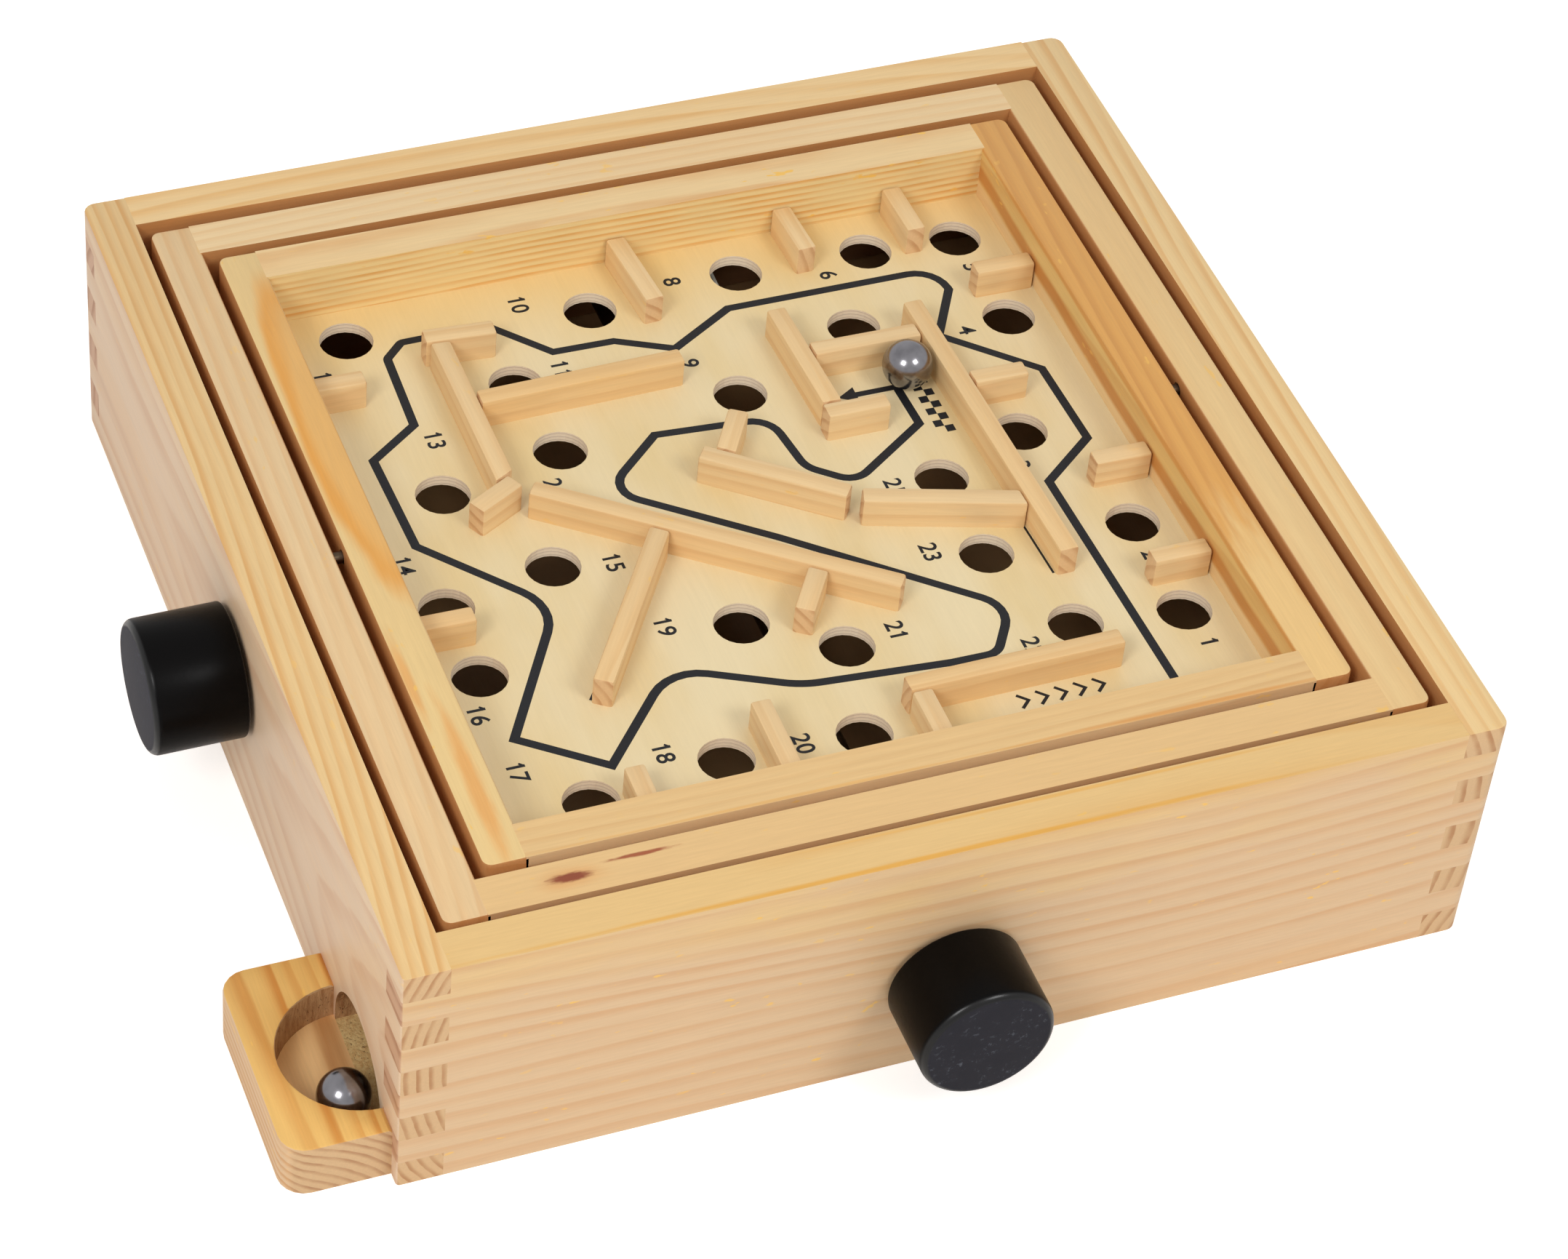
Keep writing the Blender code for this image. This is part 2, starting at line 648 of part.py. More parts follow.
def frame_rail(name, side, across, cutters):
    rail(name, side, HALF_FRAME, FRAME_RAIL, FRAME_BOTTOM, across, cutters, tilt_frame)


def tray_rail(name, side, across, cutters):
    rail(name, side, HALF_TRAY, TRAY_RAIL, BOARD_TOP + SEAT_GAP, across, cutters, tray)


def eye_bore(eye, under):
    """The hole for a screw eye's screw."""
    return bore_for(*eye_screw(eye, under), EYE_WIRE / 2, EYE_STEPS)


frame_rail("frame_rail_front", -1, True, [bore_for(*FRONT_PIN, PIN_RADIUS)])
frame_rail("frame_rail_back", 1, True, [bore_for(*BACK_PIN, PIN_RADIUS)])
frame_rail(
    "frame_rail_left", -1, False,
    [bore_for(*LEFT_PIN, PIN_RADIUS), eye_bore(LEFT_EYE, FRAME_BOTTOM)])
frame_rail(
    "frame_rail_right", 1, False,
    [bore_for(*RIGHT_PIN, PIN_RADIUS), eye_bore(RIGHT_EYE, FRAME_BOTTOM)])
tray_rail("tray_rail_front", -1, True, [eye_bore(FRONT_EYE, BOARD_BOTTOM)])
tray_rail("tray_rail_back", 1, True, [eye_bore(BACK_EYE, BOARD_BOTTOM)])
tray_rail("tray_rail_left", -1, False, [bore_for(*LEFT_PIN, PIN_RADIUS)])
tray_rail("tray_rail_right", 1, False, [bore_for(*RIGHT_PIN, PIN_RADIUS)])

# %% The board and its holes

board_shape = block(2 * HALF_TRAY, 2 * HALF_TRAY, BOARD_THICKNESS)
round_uprights(board_shape, RAIL_CORNER_RADIUS, lambda place: True)
maze_board = piece_from("maze_board", board_shape, (0, 0, (BOARD_TOP + BOARD_BOTTOM) / 2))

drills = bmesh.new()
for share_x, share_y in HOLE_SHARES:
    hole_place = Matrix.Translation((share_x * HALF_PLAY, share_y * HALF_PLAY, 0))
    bmesh.ops.create_cone(
        drills, cap_ends=True, cap_tris=False, segments=HOLE_STEPS, radius1=HOLE_DIAMETER / 2,
        radius2=HOLE_DIAMETER / 2, depth=BOARD_THICKNESS + 2 * OVERRUN, matrix=hole_place)
cut(maze_board, piece_from("drills", drills, maze_board.location))
cut(maze_board, eye_bore(FRONT_EYE, BOARD_BOTTOM))
cut(maze_board, eye_bore(BACK_EYE, BOARD_BOTTOM))
carry(tray, maze_board, "plywood")

# %% The maze walls, glued on the board


def trim(bm, point, outward):
    """Cut a shape off flat at a point, taking away the side that outward points to."""
    halves = bmesh.ops.bisect_plane(
        bm, geom=bm.verts[:] + bm.edges[:] + bm.faces[:], plane_co=point, plane_no=outward,
        clear_outer=True)
    rim = [item for item in halves["geom_cut"] if isinstance(item, bmesh.types.BMEdge)]
    if rim:
        bmesh.ops.edgeloop_fill(bm, edges=rim)


def wall_line(number):
    """A wall's start and end on the board, in metres. Walls are numbered from 1."""
    start, end, stops = MAZE_WALL_SHARES[number - 1]
    return Vector(start) * HALF_PLAY, Vector(end) * HALF_PLAY


def maze_wall(number):
    """One wall, trimmed to the rails and to the walls that it stops against."""
    start, end = wall_line(number)
    middle = (start + end) / 2
    bm = block((end - start).length, MAZE_WALL_WIDTH, MAZE_WALL_HEIGHT - SEAT_GAP)
    turn = Matrix.Rotation(math.atan2(end.y - start.y, end.x - start.x), 4, "Z")
    bmesh.ops.transform(bm, matrix=turn, verts=bm.verts)

    for way in (Vector((1, 0)), Vector((-1, 0)), Vector((0, 1)), Vector((0, -1))):
        limit = way * (HALF_PLAY - SEAT_GAP) - middle
        trim(bm, limit.to_3d(), way.to_3d())
    for stop in MAZE_WALL_SHARES[number - 1][2]:
        stop_start, stop_end = wall_line(stop)
        side = (stop_end - stop_start).orthogonal().normalized()
        if side.dot(middle - stop_start) < 0:
            side = -side
        face = stop_start + side * (MAZE_WALL_WIDTH / 2 + SEAT_GAP) - middle
        trim(bm, face.to_3d(), -side.to_3d())

    bottom = min(vert.co.z for vert in bm.verts)
    foot = bottom + MAZE_WALL_ROUNDING / 10
    edges = [edge for edge in bm.edges if max(vert.co.z for vert in edge.verts) > foot]
    round_edges(bm, edges, MAZE_WALL_ROUNDING, EDGE_STEPS)
    height = BOARD_TOP + (MAZE_WALL_HEIGHT + SEAT_GAP) / 2
    wall = piece_from(f"maze_wall_{number:02d}", bm, (*middle, height))
    carry(tray, wall, "pale_pine")


for number in range(1, len(MAZE_WALL_SHARES) + 1):
    maze_wall(number)

# %% The knobs, pushed on the rods


def knob(name, length, end, tilt, carrier):
    """A knob with a blind bore, turned about the vertical and then tilted to face outward."""
    radius = KNOB_DIAMETER / 2
    bore = ROD_RADIUS + SEAT_GAP
    face_corner = [
        (radius - KNOB_ROUNDING + KNOB_ROUNDING * math.sin(turn),
         length - KNOB_ROUNDING + KNOB_ROUNDING * math.cos(turn))
        for turn in (math.pi / 2 * step / CORNER_STEPS for step in range(CORNER_STEPS + 1))]
    back_corner = [(radius, EDGE_ROUNDING), (radius - EDGE_ROUNDING, 0)]
    inside = [(bore, 0), (bore, KNOB_BORE_DEPTH + SEAT_GAP), (0, KNOB_BORE_DEPTH + SEAT_GAP)]
    piece = turned(name, [(0, length)] + face_corner + back_corner + inside, KNOB_STEPS)
    piece.data.transform(tilt)
    piece.location = end
    carry(carrier, piece, "black_plastic")


knob(
    "frame_knob", FRAME_KNOB_LENGTH, (FRAME_ROD_OFFSET, -HALF_BOX - KNOB_GAP, FRAME_ROD_HEIGHT),
    Matrix.Rotation(math.pi / 2, 4, "X"), frame_turner)
knob(
    "tray_knob", TRAY_KNOB_LENGTH, (-HALF_BOX - KNOB_GAP, TRAY_ROD_OFFSET, TRAY_ROD_HEIGHT),
    Matrix.Rotation(-math.pi / 2, 4, "Y"), tray_turner)

# %% The balls: one on the board and one in the catch block


def ball(name, spot, carrier):
    bm = bmesh.new()
    bmesh.ops.create_uvsphere(
        bm, u_segments=BALL_STEPS, v_segments=BALL_STEPS // 2, radius=BALL_RADIUS)
    carry(carrier, smooth(piece_from(name, bm, spot)), "steel")


ball(
    "maze_ball",
    (BALL_SHARES[0] * HALF_PLAY, BALL_SHARES[1] * HALF_PLAY, BOARD_TOP + SEAT_GAP + BALL_RADIUS),
    tray)
ball(
    "catch_ball",
    (-HALF_BOX + CAUGHT_BALL_SHARES[0] * POCKET_RADIUS,
     POCKET_Y + CAUGHT_BALL_SHARES[1] * POCKET_RADIUS, CATCH_FLOOR + SEAT_GAP + BALL_RADIUS),
    box)

bpy.context.view_layer.update()
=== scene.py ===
# %% [markdown]
# # A wooden ball maze
# A steel ball runs on a board with holes, inside a pine box. Two knobs tilt the board. The packed
# model already holds every piece at its real size, so this script gives the pieces their finish and
# models what a workshop drawing leaves out: print, cord, and the last bit of roundness.

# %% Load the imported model
import json
import math
import random

import bpy
from mathutils import Matrix, Vector

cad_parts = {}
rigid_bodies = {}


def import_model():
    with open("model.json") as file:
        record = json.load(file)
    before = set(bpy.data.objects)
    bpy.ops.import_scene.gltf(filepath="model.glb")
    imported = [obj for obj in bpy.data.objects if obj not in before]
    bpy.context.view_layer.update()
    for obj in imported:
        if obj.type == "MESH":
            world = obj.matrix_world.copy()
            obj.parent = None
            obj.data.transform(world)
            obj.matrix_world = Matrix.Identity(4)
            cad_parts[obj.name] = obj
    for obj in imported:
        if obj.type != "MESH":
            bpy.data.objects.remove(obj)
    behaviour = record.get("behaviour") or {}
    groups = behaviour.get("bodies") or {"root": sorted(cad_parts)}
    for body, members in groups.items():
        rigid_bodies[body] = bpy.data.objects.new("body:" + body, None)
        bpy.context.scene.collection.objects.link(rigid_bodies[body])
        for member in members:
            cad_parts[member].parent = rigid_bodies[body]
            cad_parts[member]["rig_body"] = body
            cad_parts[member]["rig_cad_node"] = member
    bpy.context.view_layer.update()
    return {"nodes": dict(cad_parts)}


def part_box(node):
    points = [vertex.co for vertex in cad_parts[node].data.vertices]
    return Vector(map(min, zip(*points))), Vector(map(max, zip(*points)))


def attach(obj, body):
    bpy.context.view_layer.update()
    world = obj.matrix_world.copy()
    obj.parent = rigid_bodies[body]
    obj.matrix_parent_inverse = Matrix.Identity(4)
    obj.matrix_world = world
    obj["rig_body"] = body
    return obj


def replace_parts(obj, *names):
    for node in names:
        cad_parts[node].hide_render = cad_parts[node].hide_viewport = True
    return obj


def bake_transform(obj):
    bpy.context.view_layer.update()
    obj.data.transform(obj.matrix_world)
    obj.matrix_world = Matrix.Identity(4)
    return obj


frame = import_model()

nodes = frame["nodes"]

# %% [markdown]
# ## Camera
# The picture is taken from the front left, 45 degrees up, with a long lens, so that the box looks
# almost like a drawing of itself. Place, turn and lens come from fitting the box's edges in a photo.

# %% Set the camera
CAMERA_PLACE = (-0.27370, -0.61172, 0.68178)
CAMERA_TURN = (45.288, -4.468, -20.745)
LENS = 107.27

bpy.ops.object.camera_add(
    location=CAMERA_PLACE, rotation=[math.radians(angle) for angle in CAMERA_TURN])
camera = bpy.context.object
camera.name = "camera"
camera.data.lens = LENS
camera.data.sensor_width = 36
bpy.context.scene.camera = camera
print(f"the camera stands {Vector(CAMERA_PLACE).length:.2f} m from the box")

# %% [markdown]
# ## Floor and light
# A product photo has a white sweep under the object and two soft lamps near the camera. The floor
# takes the shadow. To the camera it also glows a little, which lifts it to white without adding
# light to the object. The world does the same, and metal sees that white too.

# %% Light the room
WORLD_LEVEL = 0.62

bpy.context.scene.view_settings.view_transform = "Standard"
world = bpy.data.worlds.new("studio")
bpy.context.scene.world = world
world.use_nodes = True
sky = world.node_tree
join = sky.links.new
ambient = sky.nodes["Background"]
ambient.inputs["Color"].default_value = (1, 0.985, 0.96, 1)
ambient.inputs["Strength"].default_value = WORLD_LEVEL
white = sky.nodes.new("ShaderNodeBackground")
rays = sky.nodes.new("ShaderNodeLightPath")
seen = sky.nodes.new("ShaderNodeMath")
seen_through = sky.nodes.new("ShaderNodeMath")
seen_through.use_clamp = True
choice = sky.nodes.new("ShaderNodeMixShader")
join(rays.outputs["Is Camera Ray"], seen.inputs[0])
join(rays.outputs["Is Glossy Ray"], seen.inputs[1])
join(seen.outputs[0], seen_through.inputs[0])
join(rays.outputs["Is Transmission Ray"], seen_through.inputs[1])
join(seen_through.outputs[0], choice.inputs[0])
join(ambient.outputs[0], choice.inputs[1])
join(white.outputs[0], choice.inputs[2])
join(choice.outputs[0], sky.nodes["World Output"].inputs[0])

# %% Hang the lamps and lay the floor


def softbox(name, place, size, power):
    """A square lamp that faces the middle of the box."""
    bpy.ops.object.light_add(type="AREA", location=place)
    lamp = bpy.context.object
    lamp.name = name
    lamp.data.size = size
    lamp.data.energy = power
    lamp.rotation_euler = (-Vector(place)).to_track_quat("-Z", "Y").to_euler()


LAMP_SIZE = 0.5
softbox("left_lamp", (-0.95, -0.75, 1.15), LAMP_SIZE, 9)
softbox("right_lamp", (0.55, -1.05, 1.25), LAMP_SIZE, 7)

bpy.ops.mesh.primitive_plane_add(size=6, location=(0, 0, 0))
floor = bpy.context.object
floor.name = "floor"

# %% [markdown]
# ## Shader maths
# A wood material is mostly arithmetic on a point's place. The two small classes below let that be
# written as Python: `Finish` adds a node and joins it up, and `Wire` is what comes out of one, which
# can then be added, multiplied and so on. Each sign turns into a Math node.

# %% Let sums be written on sockets


class Wire:
    """A number, vector or colour that varies over a surface."""

    def __init__(self, finish, socket):
        self.finish = finish
        self.socket = socket

    def sum(self, operation, *values):
        return self.finish.node("Math", {"operation": operation}, dict(enumerate(values)))

    def __add__(self, other):
        return self.sum("ADD", self, other)

    def __radd__(self, other):
        return self.sum("ADD", other, self)

    def __sub__(self, other):
        return self.sum("SUBTRACT", self, other)

    def __rsub__(self, other):
        return self.sum("SUBTRACT", other, self)

    def __mul__(self, other):
        return self.sum("MULTIPLY", self, other)

    def __rmul__(self, other):
        return self.sum("MULTIPLY", other, self)

    def __truediv__(self, other):
        return self.sum("DIVIDE", self, other)

    def __rtruediv__(self, other):
        return self.sum("DIVIDE", other, self)

    def __pow__(self, other):
        return self.sum("POWER", self, other)

    def size(self):
        return self.sum("ABSOLUTE", self)

    def fraction(self):
        return self.sum("FRACT", self)

    def rise(self, low, high):
        """0 below low and 1 above high, with a smooth step between."""
        return self.finish.node(
            "MapRange", {"interpolation_type": "SMOOTHSTEP"},
            {"Value": self, "From Min": low, "From Max": high})


class Finish:
    """A material in the making."""

    def __init__(self, name, fixed):
        self.material = bpy.data.materials.new(name)
        self.material.use_nodes = True
        self.tree = self.material.node_tree
        self.shader = self.tree.nodes["Principled BSDF"]
        for socket, value in fixed.items():
            self.shader.inputs[socket].default_value = value

    def node(self, kind, settings, sockets, output=0):
        """Add a node, set it, fill its sockets with values or wires, and give one output."""
        new = self.tree.nodes.new("ShaderNode" + kind)
        for setting, value in settings.items():
            setattr(new, setting, value)
        for key, value in sockets.items():
            self.fill(new.inputs[key], value)
        return Wire(self, new.outputs[output])

    def fill(self, socket, value):
        if isinstance(value, Wire):
            self.tree.links.new(value.socket, socket)
        else:
            socket.default_value = value

    def place(self, output="Object"):
        return self.node("TexCoord", {}, {}, output)

    def turned(self, centre, turn):
        """The place in a piece's own frame: from its centre, with its length along X."""
        return self.node(
            "Mapping", {"vector_type": "TEXTURE"},
            {"Vector": self.place(), "Location": centre, "Rotation": turn})

    def parts(self, vector):
        split = self.node("SeparateXYZ", {}, {0: vector})
        return [Wire(self, socket) for socket in split.socket.node.outputs]

    def grey(self, level):
        """The same number as red, green and blue."""
        return self.node("CombineXYZ", {}, {axis: level for axis in range(3)})

    def noise(self, place, sizes, seed=0.0, detail=2.0, roughness=0.5):
        """Noise, around 0.5, whose patches have about these three sizes in metres."""
        scaled = self.node("VectorMath", {"operation": "DIVIDE"}, {0: place, 1: sizes})
        return self.node(
            "TexNoise", {"noise_dimensions": "4D"},
            {"Vector": scaled, "W": seed, "Scale": 1.0, "Detail": detail, "Roughness": roughness})

    def mix(self, factor, first, second, how="MIX"):
        """Mix two colours, each a wire or a screen colour."""
        first, second = (
            tint if isinstance(tint, Wire) else linear(tint) for tint in (first, second))
        return self.node(
            "Mix", {"data_type": "RGBA", "blend_type": how},
            {0: factor, 6: first, 7: second}, 2)

    def wear(self, **sockets):
        """Join what varies to the shader, and give the material."""
        for socket, value in sockets.items():
            self.fill(self.shader.inputs[socket.replace("_", " ").title()], value)
        return self.material

    def bumps(self, height, depth):
        return self.node("Bump", {}, {"Distance": depth, "Height": height})


def linear(tint):
    """A screen colour, 0 to 255, as the linear light that Blender reckons with."""
    light = [
        (part / 255 / 12.92) if part < 11 else ((part / 255 + 0.055) / 1.055) ** 2.4
        for part in tint]
    return (*light, 1)


def dress(name, material):
    """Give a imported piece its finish."""
    nodes[name].data.materials.clear()
    nodes[name].data.materials.append(material)


# %% [markdown]
# The floor is the first material: a white diffuse sheet, which glows only for the camera.

# %% Paint the floor
FLOOR_GLOW = 0.45

sheet = Finish("white_floor", {"Base Color": (0.88, 0.88, 0.88, 1)})
sheet.fill(sheet.shader.inputs["Emission Color"], (1, 1, 1, 1))
camera_ray = sheet.node("LightPath", {}, {}, "Is Camera Ray")
grain = sheet.noise(sheet.place(), (0.4, 0.4, 0.4))
sheet.fill(sheet.shader.inputs["Emission Strength"], camera_ray * FLOOR_GLOW)
floor.data.materials.append(sheet.wear(roughness=grain * 0.1 + 0.85))

# %% [markdown]
# ## Pine
# Pine is built up in rings: pale, quick spring growth that ends in a thin amber line. A board is cut
# out of those rings, so one rule gives straight lines along its faces and arcs on its ends. The
# material does just that. It measures a point's distance from the middle of the tree, the pith, and
# lets it lean, bow and wander along the board. Colours are given for the sides and for the top, where
# the varnish has turned golden, each for the early wood and for the late lines.

# %% Describe a plain piece of pine
PINE = dict(
    spacing=0.0020,
    pith=(-0.030, -0.030),
    lean=0.0,
    bow=0.0,
    bow_at=0.0,
    wander=0.006,
    dash=0.15,
    contrast=0.7,
    early=(226, 193, 146),
    late=(206, 152, 96),
    top=(231, 199, 147),
    top_late=(214, 160, 98),
    amber=(222, 164, 86),
    amber_share=0.15,
    end=(216, 176, 134),
    end_line=(164, 112, 70),
    drips=0.6,
    gold_edge=0.0,
    # which sides get painted shade in a gap, as reaches from the box's middle, and how strong it is
    soaked=None,
    soak_share=0.85,
    bands=(),
    marks=(),
)
DRIP_GOLD = (240, 190, 92)
# painted shade for the sides in a gap: its colour higher up, and deeper near the bottom
GAP_SHADE = (190, 126, 66)
GAP_SHADE_DEEP = (118, 72, 36)
print(f"a ring every {PINE['spacing'] * 1000:.1f} mm")

# %% Grow the rings


def tree_rings(finish, look, seed, place):
    """How far a point is through its ring, from 0 to 1, and how strong the line is there."""
    length, across, up = finish.parts(place)
    slow = finish.noise(place, (0.16, 0.03, 0.03), seed, 1.0) - 0.5
    quick = finish.noise(place, (0.03, 0.004, 0.004), seed + 3, 2.0) - 0.5
    from_pith = across - look["pith"][0]
    above_pith = up - look["pith"][1]
    bowed = length - look["bow_at"]
    distance = (from_pith * from_pith + above_pith * above_pith) ** 0.5
    distance = distance + length * look["lean"] + bowed * bowed * look["bow"]
    grown = (distance + slow * look["wander"] + quick * 0.0008) / look["spacing"]
    strength = finish.noise(place, (look["dash"], 0.004, 0.004), seed + 5, 1.0).rise(0.25, 0.7)
    return grown.fraction(), strength


# %% [markdown]
# Resin and varnish leave their marks on top of the rings. Bands run along a board's side at some
# height, and oval marks lie on its top. The sides that face each other across a gap get painted shade,
# darker towards the bottom, and which sides these are is told by how far a point is from the box's
# middle.

# %% Stain the wood and paint shade into its gaps


def stained(finish, look, seed, place, wood, facing_up):
    """Wood with its bands on the sides and its oval marks on the top."""
    length, across, up = finish.parts(place)
    for at, half, wave, tint, share in look["bands"]:
        waved = up + (finish.noise(place, (0.05, 1.0, 1.0), seed + 19, 2.0) - 0.5) * wave
        inside = (1 - ((waved - at) / half).size().rise(0.4, 1.0)) * (1 - facing_up)
        wood = finish.mix(inside * share, wood, tint)
    for at, size, tint, share, fade, ragged, rough in look["marks"]:
        far = (((length - at[0]) / size[0]) ** 2 + ((across - at[1]) / size[1]) ** 2) ** 0.5
        far = far + (finish.noise(place, ragged, seed + 17) - 0.5) * rough
        inside = (1 - far.rise(fade, 1.1)) * facing_up
        wood = finish.mix(inside * share, wood, tint)
    return wood


def soaked(finish, look, wood, facing_up):
    """Wood whose sides get painted shade, darker towards the bottom, between two distances from the
    box's middle.
    """
    spot = finish.node("VectorMath", {"operation": "SUBTRACT"}, {0: finish.place(), 1: MIDDLE})
    east, north, height = finish.parts(spot)
    reach = east.sum("MAXIMUM", east.size(), north.size())
    low, high = look["soaked"]
    deep = reach.rise(low, low + 0.0002) * (1 - reach.rise(high, high + 0.0002))
    soak = finish.mix(height.rise(0.020, 0.050), GAP_SHADE_DEEP, GAP_SHADE)
    return finish.mix(deep * (1 - facing_up) * look["soak_share"], wood, soak)


# %% [markdown]
# The finish puts it all together: pale and dark wood, amber patches, rings, stains, small drips of
# varnish, the sawn ends, fine fibres over everything, and painted shade on the sides in a gap.

# %% Finish a piece of pine
TURNS = {"X": (0, 0, 0), "Y": (0, 0, math.pi / 2)}


def pine(name, seed, centre=None, along="X", **changes):
    """Varnished pine whose grain runs along X or Y, or else as the piece's own attributes say."""
    look = {**PINE, **changes}
    finish = Finish(name, {"Coat Weight": 0.1, "Coat Roughness": 0.35})
    facing = finish.parts(finish.place("Normal"))
    facing_up = facing[2].rise(0.4, 0.9)
    if centre is None:
        place = finish.node("Attribute", {"attribute_name": "grain"}, {}, "Vector")
        is_end = finish.node("Attribute", {"attribute_name": "cut_end"}, {}, "Fac")
        share = finish.node("Attribute", {"attribute_name": "tone"}, {}, "Fac")
    else:
        place = finish.turned(centre, TURNS[along])
        is_end = facing["XYZ".index(along)].size().rise(0.6, 0.85)
        share = look["amber_share"]

    ring, strength = tree_rings(finish, look, seed, place)
    line = ring.rise(0.25, 0.84) * (1 - ring.rise(0.88, 1.0)) * (strength * 0.75 + 0.25)
    cut_line = ring.rise(0.42, 0.84) * (1 - ring.rise(0.92, 1.0)) * (strength * 0.5 + 0.5)
    fibre = finish.noise(place, (0.010, 0.00045, 0.00045), seed + 7, 3.0, 0.6)
    patch = finish.noise(place, (0.11, 0.010, 0.010), seed + 9, 2.0).rise(0.50, 0.72)
    if centre is None:
        patch = patch * 0.5 + 0.5

    pale = finish.mix(facing_up, look["early"], look["top"])
    dark = finish.mix(facing_up, look["late"], look["top_late"])
    if look["gold_edge"]:
        height = finish.parts(finish.place())[2]
        blotch = finish.noise(finish.place(), (0.04, 0.04, 0.012), seed + 11, 2.0)
        gold = (height + (blotch - 0.5) * 0.06).rise(0.036, 0.066) * look["gold_edge"]
        pale = finish.mix(gold, pale, look["top"])
    amber = finish.mix(patch * share, pale, look["amber"])
    ringed = finish.mix(line * look["contrast"], amber, dark)
    ringed = stained(finish, look, seed, place, ringed, facing_up)
    drip = finish.noise(place, (0.004, 0.0016, 0.0016), seed + 13, 2.0).rise(0.64, 0.70)
    wet = finish.noise(place, (0.03, 0.006, 0.006), seed + 15, 2.0).rise(0.50, 0.64)
    ringed = finish.mix(drip * wet * look["drips"], ringed, DRIP_GOLD)
    sawn = finish.mix(cut_line * 0.8, look["end"], look["end_line"])
    wood = finish.mix(is_end, ringed, sawn)
    # painted shade on the sides that face a gap
    if look["soaked"]:
        wood = soaked(finish, look, wood, facing_up)
    return finish.wear(
        base_color=finish.mix(1.0, wood, finish.grey(fibre * 0.22 + 0.89), "MULTIPLY"),
        roughness=fibre * 0.2 + line * 0.05 + 0.38,
        normal=finish.bumps(fibre * 0.5 - line * 0.3, 0.00006))


# %% [markdown]
# Every board comes from another tree, so each gets its own seed, ring spacing, and place in its
# tree: `pith` says where the middle of the tree lies across and above the board. Bands are given by
# height, half width, wave, colour and strength. The marks are the knots and resin stains of single
# boards, placed along and across them. Lengths are in metres from a board's middle.

# %% Say what a board can have
MIDDLE = ((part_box("front_wall")[0].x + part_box("front_wall")[1].x) / 2,
          (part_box("left_wall")[0].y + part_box("left_wall")[1].y) / 2, 0)
INNER_SIDE = (0.0, 0.1012)
ALL_SIDES = (0.0, 1.0)
GAP_SIDE = (0.0793, 1.0)
KNOT_GRAIN = (0.002, 0.0006, 0.0006)
EDGE_GRAIN = (0.02, 0.0008, 0.0008)
BROAD_GRAIN = (0.03, 0.006, 0.006)


def mark(at, size, tint, share, fade=0.6, ragged=(0.01, 0.002, 0.002), rough=0.8):
    """An oval stain: where it lies, half its length and width, its colour, and how it fades."""
    return at, size, tint, share, fade, ragged, rough


def middle(name):
    """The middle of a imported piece."""
    low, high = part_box(name)
    return (low + high) / 2


def board(name, along, *kinds, **own):
    """Choose the pine of one board, from what it shares with other boards and from its own look."""
    look = {}
    for changes in (*kinds, own):
        look.update(changes)
    board_pine[name] = pine(f"pine_{name}", len(board_pine) * 1.7, middle(name), along, **look)


# %% Choose the boards
SIDE_END = {"end": (210, 172, 126), "end_line": (170, 114, 64)}
CROSS_END = {"end": (202, 157, 122), "end_line": (166, 112, 76)}
# These give the sides with painted shade in a gap: the box walls' inner sides, all sides of the frame's
# rails, and the outer sides of the tray's rails.
OUTSIDE = {"soaked": INNER_SIDE, "gold_edge": 0.5, "drips": 0.3}
FRAME = {"soaked": ALL_SIDES, "contrast": 0.35}
TRAY = {"soaked": GAP_SIDE}
board_pine = {}

board("front_wall", "X", OUTSIDE, CROSS_END, spacing=0.0046, pith=(0.010, -0.110), bow=-0.25,
      wander=0.014, contrast=0.55, gold_edge=0.75, drips=0.9, early=(218, 184, 143),
      late=(206, 152, 100), top=(226, 189, 127), top_late=(220, 172, 102), marks=(
          mark((-0.01, -0.0039), (0.100, 0.0008), (224, 164, 62), 0.85, 0.3, EDGE_GRAIN),
          mark((0.02, 0.0038), (0.060, 0.0006), (224, 166, 70), 0.6, 0.3, EDGE_GRAIN)))
board("back_wall", "X", OUTSIDE, CROSS_END, spacing=0.0040, pith=(-0.060, -0.020), bow=0.55,
      bow_at=-0.03, early=(222, 188, 148), top=(231, 198, 144), top_late=(217, 163, 90))
board("left_wall", "Y", OUTSIDE, SIDE_END, spacing=0.0023, pith=(-0.045, 0.001), lean=0.01,
      bow=-0.32, bow_at=0.06, contrast=0.8, gold_edge=0.25, early=(224, 194, 162),
      late=(211, 170, 134), top=(226, 192, 136), top_late=(210, 154, 84))
board("right_wall", "Y", OUTSIDE, SIDE_END, spacing=0.0034, pith=(0.060, 0.004), lean=-0.025,
      wander=0.010, early=(222, 188, 148), top=(229, 197, 142), top_late=(213, 160, 94))
# the front frame rail's painted shade in its gaps is weaker
board("frame_rail_front", "X", FRAME, spacing=0.0060, pith=(0.0, -0.09), contrast=0.2,
      soak_share=0.4, top=(225, 187, 130), marks=(
          mark((-0.0735, 0.0), (0.0080, 0.0034), (216, 156, 92), 0.6, 0.2),
          mark((-0.0735, 0.0), (0.0048, 0.0013), (140, 66, 34), 1.0, 0.5, KNOT_GRAIN),
          mark((-0.0595, 0.0018), (0.0078, 0.0006), (156, 76, 40), 0.95, 0.4, KNOT_GRAIN)))
board("frame_rail_back", "X", FRAME, spacing=0.0024, pith=(-0.05, -0.02), bow=0.25,
      contrast=0.5, top=(230, 201, 154), top_late=(218, 172, 116))
board("frame_rail_left", "Y", FRAME, spacing=0.0032, pith=(-0.06, -0.02), lean=0.03, bow=-0.2,
      bow_at=0.03, contrast=0.45, top=(226, 195, 148), top_late=(214, 162, 104))
board("frame_rail_right", "Y", FRAME, spacing=0.0055, pith=(0.0, -0.08), contrast=0.25,
      top=(226, 195, 140))
